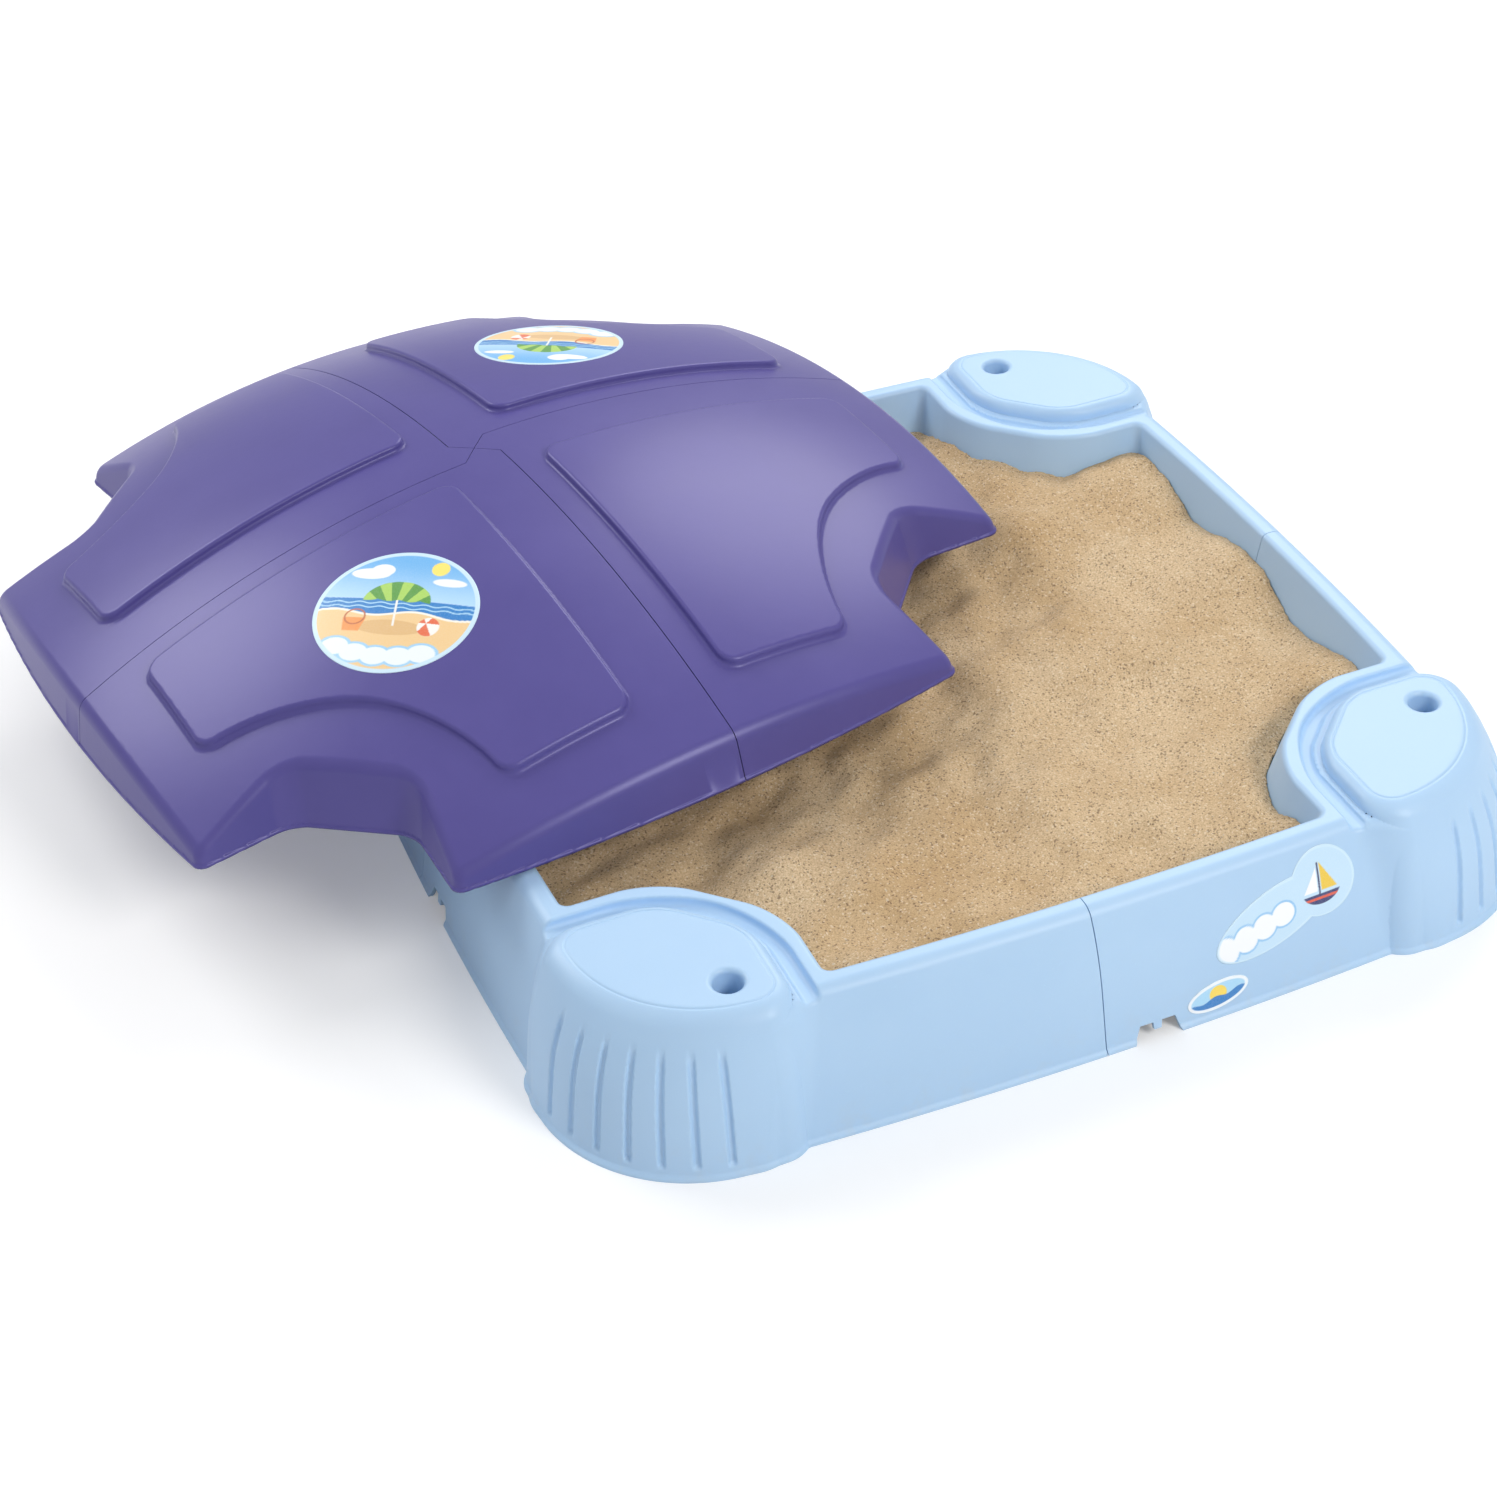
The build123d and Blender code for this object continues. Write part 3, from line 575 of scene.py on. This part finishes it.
# ---------------------------------------------------------------- cover, in its own frame
def cover_notch(x, y, z):
    """Space of the corner notch, whose walls lean back as they rise."""
    back = COVER_LEAN * z
    slant = 0.09
    side_x = x + COVER_NOTCH - back - slant * (y + 360)
    side_y = y + COVER_NOTCH - back - slant * (x + 360)
    cut = (x + y + COVER_NOTCH_CUT - 1.6 * back) * DIAGONAL
    return round_max(round_max(side_x, side_y, NOTCH_ROUND), cut, NOTCH_ROUND)


def cover_plan(x, y, z):
    """Distance past the sides of the cover, which lean in as they rise, with the corner notches."""
    sides = np.maximum(bowed(x, y, COVER_BOW, COVER_REACH), bowed(y, x, COVER_BOW, COVER_REACH))
    return round_max(sides + COVER_LEAN * z, -cover_notch(x, y, z), TIP_ROUND)


def cover_panel(x, y):
    """Raised panel of the front corner, with its curved cut towards the notch."""
    slant = 0.14
    bite = round_max(x + 188 + slant * (y + 400), y + 188 + slant * (x + 400), 40)
    bite = round_max(bite, (x + y + 511) * DIAGONAL, 45)
    near = round_max(x + PANEL_IN, y + PANEL_IN, 18)
    far = round_max(-x - PANEL_OUT, -y - PANEL_OUT, 18)
    return round_max(round_max(near, far, 18), -bite, 16)


def cover_solid(x, y, z):
    crown = np.sqrt(x * x + y * y + (z - APEX + CROWN_R) ** 2) - CROWN_R
    body = round_max(cover_plan(x, y, z), crown, BROW_ROUND)
    raised = round_max(cover_panel(x, y), crown - PANEL_RISE, PANEL_ROUND)
    return round_min(body, raised, PANEL_ROUND)


def crown_height(x, y):
    return APEX - CROWN_R + math.sqrt(CROWN_R**2 - x * x - y * y)


STRAP_SCREWS = (150, 330)    # screws of a strap, from the middle of the cover
HUB_SCREW = 36               # screws of the hub, from the middle of the cover
POST_DROP = 18               # foot of a screw post, below the crown at its screw
POST_SPOTS = [(5, -150), (5, -330), (-150, -35), (-330, -35), (-12, -34)]
STRAP_POSTS = [crown_height(COVER_SEAM, along) - POST_DROP for along in STRAP_SCREWS]
POST_FEET = STRAP_POSTS * 2 + [crown_height(0, HUB_SCREW) - POST_DROP]


def cover_skin(x, y, z):
    """Outside of the cover with the bead round its bottom edge."""
    bead = np.hypot(cover_plan(x, y, z) + 0.6, z - 2.1) - 2.1
    return np.minimum(cover_solid(x, y, z), bead)


def cover_region(x, y, z):
    """Positive outside the front corner of the cover: beyond its seams, or below its bottom edge."""
    s = COVER_SEAM
    left = np.minimum(y + s + SEAM_GAP, (y - x + SEAM_GAP) * DIAGONAL)
    front = np.maximum(x - s + SEAM_GAP, (x + y + SEAM_GAP) * DIAGONAL)
    return np.maximum(np.maximum(left, front), -z)


def cover_corner():
    """The thin moulding of the front corner with its screw posts."""
    low = (-COVER_REACH - 10, -COVER_REACH - 10, -5)
    mesh = shaped("cover", cover_skin, low, (COVER_SEAM + 8, 8, APEX + 14), COVER_STEP, KEEP)
    s, g = COVER_SEAM, SEAM_GAP
    planes = [
        ((0, 0, 0), (0, 0, 1)), ((s - g, 0, 0), (1, 0, 0)), ((0, -s - g, 0), (0, 1, 0)),
        ((-g, 0, 0), (1, 1, 0)), ((g, 0, 0), (-1, 1, 0)),
    ]
    mesh = shade_from(thickened(trimmed(mesh, planes, cover_region), SKIN), cover_skin, -SKIN / 2)
    posts = bmesh.new()
    posts.from_mesh(mesh)
    for (x, y), base in zip(POST_SPOTS, POST_FEET):
        top = crown_height(x, y) - 2
        middle = Matrix.Translation(Vector((x, y, (base + top) / 2)) * MM)
        bmesh.ops.create_cone(
            posts, cap_ends=True, segments=24, radius1=6 * MM, radius2=6.4 * MM,
            depth=(top - base) * MM, matrix=middle,
        )
    posts.to_mesh(mesh)
    posts.free()
    return mesh


# ---------------------------------------------------------------- sand
DUNES = [                    # height, middle x and y, spread x and y
    (12, 210, 170, 190, 170), (14, 340, 215, 75, 60), (-12, 235, -175, 75, 65),
]


def sand_height(x, y):
    """Dunes: a rise towards the back right, a hollow towards the front right, crossing waves, a ridge."""
    dice = np.random.default_rng(7)
    height = 95
    for rise, at_x, at_y, wide_x, wide_y in DUNES:
        height = height + rise * np.exp(-(((x - at_x) / wide_x) ** 2 + ((y - at_y) / wide_y) ** 2))
    for _ in range(30):
        turn = dice.uniform(0, 2 * math.pi)
        length = 28 * (9 ** dice.uniform(0, 1))
        phase = dice.uniform(0, 2 * math.pi)
        wave = np.sin((x * math.cos(turn) + y * math.sin(turn)) * 2 * math.pi / length + phase)
        height = height + wave * 0.016 * length * dice.uniform(0.4, 1.0)
    across = (x - 120) * 0.66 + (y + 20) * 0.75
    along = (x - 120) * 0.75 - (y + 20) * 0.66
    return height + 6 * np.exp(-((across / 45) ** 2) - (along / 170) ** 2)


def sand_solid(x, y, z):
    plan = sand_space(-np.abs(x), -np.abs(y), z) + 0.4
    return np.maximum(np.maximum((z - sand_height(x, y)) * 0.96, plan), FLOOR_T + 0.6 - z)


# ---------------------------------------------------------------- stickers
STICKER_AT = 183             # middle of a cover sticker, along x and y from the middle of the cover
COVER_OVAL = (0, 0, 82, 75)  # an oval is its middle, its half axes and its turn in degrees
SCENE_AT = (195, 87)         # on the front wall: x and height
SCENE_OVALS = [(172, 80, 64, 27, 18), (226, 98, 34, 32, 0)]
BADGE_AT = (110, 23)
BADGE_OVAL = (*BADGE_AT, 32, 14, 8)
FILM_T = 0.45                # thickness of a sticker
FILM_FOOT = 0.02             # edge of a sticker, above what it is stuck on


def ellipse(u, v, cx, cy, a, b, turn=0.0):
    """Rough distance to an ellipse, in the units of u and v."""
    c, s = math.cos(math.radians(turn)), math.sin(math.radians(turn))
    du, dv = u - cx, v - cy
    p = (du * c + dv * s) / a
    q = (-du * s + dv * c) / b
    return (np.hypot(p, q) - 1) * min(a, b)


def paint(colours, mask_distance, colour, soft=0.35):
    """Lays a colour where the distance is negative, with a soft edge."""
    cover = (1 - ease(mask_distance, -soft, soft))[:, None]
    return colours * (1 - cover) + np.array(colour) * cover


def beach_picture(u, v):
    """Seaside with a parasol, a ball and a bucket; u to the right and v up, millimetres."""
    sky = np.array((0.16, 0.47, 0.86)) + ease(v, 65, 0)[:, None] * np.array((0.34, 0.28, 0.12))
    colours = sky
    for cloud in ((-38, 44, 20, 7), (-27, 49, 12, 8), (44, 38, 17, 5)):
        colours = paint(colours, ellipse(u, v, *cloud), (0.95, 0.97, 1))
    colours = paint(colours, ellipse(u, v, 30, 55, 9, 9), (1.0, 0.80, 0.16))
    shore = -4 + 3 * np.sin(u / 13)
    colours = paint(colours, np.maximum(v - 12, shore - v), (0.02, 0.22, 0.60))
    for row in (2, 7):
        crest = np.abs(v - row - np.sin(u / 3.5)) - 0.7
        colours = paint(colours, crest, (0.45, 0.75, 0.95))
    colours = paint(colours, v - shore, (0.90, 0.62, 0.30))
    colours = paint(colours, np.abs(v - shore + 1) - 1.2, (0.97, 0.93, 0.82))
    colours = paint(colours, ellipse(u, v, 0, -22, 34, 9), (0.78, 0.50, 0.22))
    pole = np.maximum(np.abs(u + 0.14 * v) - 1.1, np.abs(v - 2) - 22)
    colours = paint(colours, pole, (0.92, 0.90, 0.85))
    shade = np.maximum(ellipse(u, v, -2, 10, 34, 25), 12 - v - 2.2 * np.abs(np.sin(u / 6.8)))
    stripe = np.sin(np.arctan2(u + 2, v + 6) * 11) > 0
    colours = paint(colours, shade, (0.10, 0.34, 0.05))
    colours = paint(colours, np.where(stripe, shade, 1.0), (0.42, 0.68, 0.12))
    ball = ellipse(u, v, 38, -18, 11, 11)
    sector = np.sin(np.arctan2(v + 14, u - 35) * 3) > 0
    colours = paint(colours, ball, (0.95, 0.93, 0.88))
    colours = paint(colours, np.where(sector, ball, 1.0), (0.82, 0.16, 0.06))
    bucket = np.maximum(np.abs(u + 38) - 10 - 0.2 * (v + 20), np.abs(v + 20) - 8)
    colours = paint(colours, bucket, (0.90, 0.33, 0.08))
    colours = paint(colours, np.abs(ellipse(u, v, -38, -11, 10, 9)) - 0.8, (0.55, 0.14, 0.04))
    for grow, tone in ((2.4, (0.36, 0.66, 0.92)), (0.0, (0.88, 0.94, 1.0))):
        for centre in (-48, -27, -5, 18, 40):
            puff = ellipse(u, v, centre, -56 + 0.004 * centre * centre, 14, 10)
            colours = paint(colours, puff - grow, tone)
    return colours


def sail_picture(u, v):
    """Rolling white waves and a small sailing boat, on a pale ground."""
    colours = np.zeros((len(u), 3)) + np.array((0.56, 0.77, 0.95))
    hull = np.maximum(ellipse(u, v, 224, 92, 20, 14), v - 88)
    mast = np.maximum(np.abs(u - 222) - 0.9, np.abs(v - 101) - 16)
    colours = paint(colours, mast, (0.03, 0.03, 0.12))
    sail = np.maximum(224 - u, np.maximum(91 - v, (u - 224) * 0.85 + (v - 117) * 0.55))
    colours = paint(colours, sail, (0.85, 0.58, 0.05))
    jib = np.maximum(u - 220, np.maximum(91 - v, (220 - u) * 0.9 + (v - 113) * 0.6))
    colours = paint(colours, jib, (0.95, 0.96, 1.0))
    colours = paint(colours, hull, (0.03, 0.04, 0.16))
    colours = paint(colours, np.maximum(hull, np.abs(v - 84) - 1.2), (0.75, 0.10, 0.05))
    for row, (grow, tone) in enumerate(((2.0, (0.30, 0.58, 0.88)), (0.0, (0.93, 0.96, 1.0)))):
        for k in range(4):
            puff = ellipse(u, v, 122 + 20 * k, 63 + 6 * k, 12, 14 - k, 18)
            colours = paint(colours, puff - grow, tone)
    return colours


def badge_picture(u, v):
    """Rising sun over a wave."""
    colours = np.zeros((len(u), 3)) + np.array((0.90, 0.95, 1.0))
    disc = ellipse(u, v, *BADGE_AT, 28.5, 10.8, 8)
    colours = paint(colours, disc, (0.42, 0.72, 0.95))
    colours = paint(colours, ellipse(u, v, 110, 24, 9, 8.5), (0.98, 0.72, 0.10))
    swell = 1.4 * np.sin(u / 4)
    sea = np.maximum(disc, v - 21 - swell - 0.14 * (u - 110))
    return paint(colours, sea, (0.03, 0.22, 0.58))


def film_mesh(name, reach, rings, sectors, centre, place, picture, border):
    """Thin film over a surface: rings of points out to reach(angle), mapped by place(u, v, lift)."""
    angles = np.linspace(0, 2 * math.pi, sectors, endpoint=False)
    shares = np.linspace(0, 1, rings + 1)[1:]
    far = reach(angles)
    u = centre[0] + np.concatenate([[0], (shares[:, None] * (far * np.cos(angles))[None]).ravel()])
    v = centre[1] + np.concatenate([[0], (shares[:, None] * (far * np.sin(angles))[None]).ravel()])
    outer_u = centre[0] + far * np.cos(angles)
    outer_v = centre[1] + far * np.sin(angles)
    top = place(u, v, FILM_T)
    rim = place(outer_u, outer_v, FILM_FOOT)
    points = np.concatenate([top, rim])
    faces = []
    turn = np.arange(sectors)
    following = (turn + 1) % sectors
    for ring in range(rings - 1):
        a = 1 + ring * sectors
        b = a + sectors
        faces.append(np.stack([a + turn, b + turn, b + following, a + following], 1))
    last = 1 + (rings - 1) * sectors
    skirt = len(top)
    faces.append(np.stack([last + turn, skirt + turn, skirt + following, last + following], 1))
    hub = np.stack([np.zeros(sectors, int), 1 + turn, 1 + following], 1)
    mesh = bpy.data.meshes.new(name)
    quads = [tuple(f) for f in np.concatenate(faces).tolist()]
    mesh.from_pydata((points * MM).tolist(), [], [tuple(f) for f in hub.tolist()] + quads)
    distance = np.concatenate([[far.min()], ((1 - shares)[:, None] * far[None]).ravel()])
    colours = paint(picture(u, v), distance - border, (0.62, 0.82, 0.97))
    colours = np.concatenate([colours, np.tile((0.80, 0.88, 0.95), (sectors, 1))])
    layer = mesh.attributes.new("picture", "FLOAT_COLOR", "POINT")
    opaque = np.column_stack([colours, np.ones(len(colours))])
    layer.data.foreach_set("color", opaque.astype(np.float32).ravel())
    mesh.shade_smooth()
    return mesh


def cover_film_place(quarter):
    """Maps picture coordinates onto the raised panel of the front (0) or back (2) corner."""
    out = -1.0 if quarter == 0 else 1.0
    towards = np.array((out, out)) * math.sqrt(0.5)
    right = np.array((-towards[1], towards[0]))

    def place(u, v, lift):
        middle = np.array((out, out)) * STICKER_AT
        x = middle[0] + right[0] * u - towards[0] * v
        y = middle[1] + right[1] * u - towards[1] * v
        radius = CROWN_R + PANEL_RISE + lift
        z = APEX - CROWN_R + np.sqrt(radius**2 - x * x - y * y)
        return np.stack([x, y, z], 1)

    return place


def wall_film_place(u, v, lift):
    """Maps x and height onto the outer face of the front wall."""
    radius = BOW_RADIUS + wall_face(v) + lift
    return np.stack([u, BOW_RADIUS - np.sqrt(radius**2 - u * u), v], 1)


def union_reach(centre, ovals):
    """How far the union of ovals reaches from the centre at each angle."""
    def reach(angles):
        near, far = np.zeros(len(angles)), np.full(len(angles), 150.0)
        for _ in range(30):
            mid = (near + far) / 2
            u = centre[0] + mid * np.cos(angles)
            v = centre[1] + mid * np.sin(angles)
            value = np.min([ellipse(u, v, *oval) for oval in ovals], axis=0)
            near = np.where(value < 0, mid, near)
            far = np.where(value < 0, far, mid)
        return near
    return reach


# ---------------------------------------------------------------- materials and pieces
blue = moulded_plastic("tray_blue", (0.455, 0.652, 0.885), (0.435, 0.632, 0.868), 0.40)
purple = moulded_plastic(
    "cover_purple", (0.105, 0.088, 0.310), (0.094, 0.078, 0.285), 0.31, (0.72, 0.72, 1.0),
)
grey = moulded_plastic("joiner_grey", (0.30, 0.31, 0.33), (0.27, 0.28, 0.30), 0.45)
sand_look = sand_material()
film_look = printed_film()
steel_look = screw_steel()

TRAY_STEP = 2.0
COVER_STEP = 2.2
SAND_STEP = 3.2
KEEP = 0.45


def quarter_turn(quarter):
    """Turn that carries the front corner onto another corner."""
    return Matrix.Rotation(quarter * math.pi / 2, 4, "Z")


corner_mesh = tray_corner()
for quarter, name in enumerate(CORNERS):
    mesh = corner_mesh.copy()
    mesh.transform(quarter_turn(quarter))
    piece("tray_" + name, mesh, "tray", blue, "base_quadrant_" + name)
    plate = plate_mesh("floor_" + name, floor_plate(), 0, FLOOR_T)
    plate.transform(quarter_turn(quarter))
    piece("tray_floor_" + name, plate, "tray", blue)

hub_low, hub_high = box_mm("lid_hub")
hub_middle = (hub_low + hub_high) / 2
hub_level = crown_height(0, HUB_SCREW) - HUB_DROP
COVER_AT = hub_middle - COVER_TURN @ Vector((0, 0, hub_level))
COVER_PLACE = Matrix.Translation(COVER_AT * MM) @ COVER_TURN.to_4x4()
cover_mesh = cover_corner()
for quarter, name in enumerate(CORNERS):
    mesh = cover_mesh.copy()
    mesh.transform(COVER_PLACE @ quarter_turn(quarter))
    piece("cover_" + name, mesh, "lid", purple, "lid_quadrant_" + name)

sand_reach = INNER_FOOT + 40
sand_low, sand_high = (-sand_reach, -sand_reach, -2), (sand_reach, sand_reach, 134)
sand_mesh = shade_from(shaped("sand", sand_solid, sand_low, sand_high, SAND_STEP, 1.0), sand_solid)
piece("sand", sand_mesh, "tray", sand_look, "play_sand")

for quarter, name in ((0, "front"), (2, "back")):
    film = film_mesh(
        "cover_film_" + name, union_reach((0, 0), [COVER_OVAL]), 100, 400, (0, 0),
        cover_film_place(quarter), beach_picture, 4.5,
    )
    film.transform(COVER_PLACE)
    piece("sticker_cover_" + name, film, "lid", film_look, "lid_sticker_" + name)
film = film_mesh(
    "wall_film_scene", union_reach(SCENE_AT, SCENE_OVALS), 70, 360, SCENE_AT,
    wall_film_place, sail_picture, 2.5,
)
piece("sticker_wall_scene", film, "tray", film_look, "wall_sticker_scene")
film = film_mesh(
    "wall_film_badge", union_reach(BADGE_AT, [BADGE_OVAL]), 40, 200, BADGE_AT,
    wall_film_place, badge_picture, 0.0,
)
piece("sticker_wall_badge", film, "tray", film_look, "wall_sticker_badge")

looks = {"wall_joiner": grey, "lid_strap": purple, "lid_hub": purple, "lid_screws": steel_look}
for name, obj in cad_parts.items():
    for start, look in looks.items():
        if name.startswith(start):
            obj.data.materials.clear()
            obj.data.materials.append(look)


# ---------------------------------------------------------------- floor, lights, camera
def studio_floor():
    """Pale floor; to the camera it also glows a little, more so far away, as a white studio sweep does."""
    mesh = bpy.data.meshes.new("floor")
    mesh.from_pydata([(-9, -9, 0), (9, -9, 0), (9, 9, 0), (-9, 9, 0)], [], [(0, 1, 2, 3)])
    floor = bpy.data.objects.new("floor", mesh)
    bpy.context.scene.collection.objects.link(floor)
    material, tree, shader = new_material("pale_floor")
    place = node(tree, "TexCoord").outputs["Object"]
    tone = blend(tree, noise(tree, place, 2.0), (0.86, 0.86, 0.865, 1), (0.88, 0.88, 0.885, 1))
    tree.links.new(tone, shader.inputs["Base Color"])
    shader.inputs["Roughness"].default_value = 0.7
    shader.inputs["Specular IOR Level"].default_value = 0.2
    seen = node(tree, "LightPath").outputs["Is Camera Ray"]
    away = node(tree, "VectorMath", {"operation": "LENGTH"}, _0=place).outputs["Value"]
    glow = node(tree, "Math", {"operation": "MULTIPLY"}, _0=seen, _1=span(tree, away, 1.2, 3.5, 0.2, 1.0))
    shader.inputs["Emission Color"].default_value = (1, 1, 1, 1)
    tree.links.new(glow.outputs[0], shader.inputs["Emission Strength"])
    mesh.materials.append(material)


def area_light(name, spot, target, size, power, colour=(1, 1, 1), mirrored=True):
    light = bpy.data.lights.new(name, "AREA")
    light.shape = "DISK"
    light.size = size
    light.energy = power
    light.color = colour
    obj = bpy.data.objects.new(name, light)
    obj.location = spot
    obj.rotation_euler = (Vector(target) - Vector(spot)).to_track_quat("-Z", "Y").to_euler()
    obj.visible_glossy = mirrored
    bpy.context.scene.collection.objects.link(obj)


def studio_world():
    """Dim cool light from all round; the camera sees plain white."""
    world = bpy.data.worlds.new("studio")
    world.use_nodes = True
    tree = world.node_tree
    back = tree.nodes["Background"]
    seen = node(tree, "LightPath").outputs["Is Camera Ray"]
    tree.links.new(blend(tree, seen, (0.93, 0.96, 1.0, 1), (1, 1, 1, 1)), back.inputs["Color"])
    tree.links.new(span(tree, seen, 0, 1, 0.48, 1.0), back.inputs["Strength"])
    bpy.context.scene.world = world


CAMERA_TURN, CAMERA_UP, CAMERA_ROLL = -20.42, 37.69, -3.25     # degrees
CAMERA_TARGET = (-0.12617, 0.05999, 0.0)                       # metres, on the ground
CAMERA_AWAY = 2.91147                                          # metres from the target
CAMERA_LENS = 67.54                                            # millimetres on a 36 mm sensor


def photo_camera():
    """The camera of the main view: from the front, a little left and well above, slightly rolled."""
    azimuth, height, roll = (math.radians(a) for a in (CAMERA_TURN, CAMERA_UP, CAMERA_ROLL))
    target = Vector(CAMERA_TARGET)
    back = Vector((
        math.sin(azimuth) * math.cos(height), -math.cos(azimuth) * math.cos(height), math.sin(height),
    ))
    right = (-back).cross(Vector((0, 0, 1))).normalized()
    up = back.cross(right)
    turned_right = right * math.cos(roll) + up * math.sin(roll)
    turned_up = up * math.cos(roll) - right * math.sin(roll)
    data = bpy.data.cameras.new("camera")
    data.lens = CAMERA_LENS
    data.sensor_width = 36
    data.clip_end = 50
    camera = bpy.data.objects.new("camera", data)
    axes = Matrix((turned_right, turned_up, back)).transposed()
    camera.matrix_world = Matrix.Translation(target + back * CAMERA_AWAY) @ axes.to_4x4()
    bpy.context.scene.collection.objects.link(camera)
    bpy.context.scene.camera = camera


studio_floor()
studio_world()
area_light("key", (1.2, -2.8, 2.6), (0.1, 0.0, 0.1), 1.4, 68, (1.0, 0.97, 0.92))
area_light("softbox", (1.9, 2.3, 2.6), (0, 0, 0.2), 2.2, 54, (1.0, 0.985, 0.96))
area_light("window", (-1.7, 2.4, 2.4), (0, 0, 0.2), 1.8, 46, (1.0, 0.985, 0.96))
area_light("fill", (-2.4, -0.2, 2.6), (0, 0, 0.1), 2.0, 7, (0.96, 0.98, 1.0), mirrored=False)
photo_camera()
bpy.context.scene.view_settings.view_transform = "Standard"
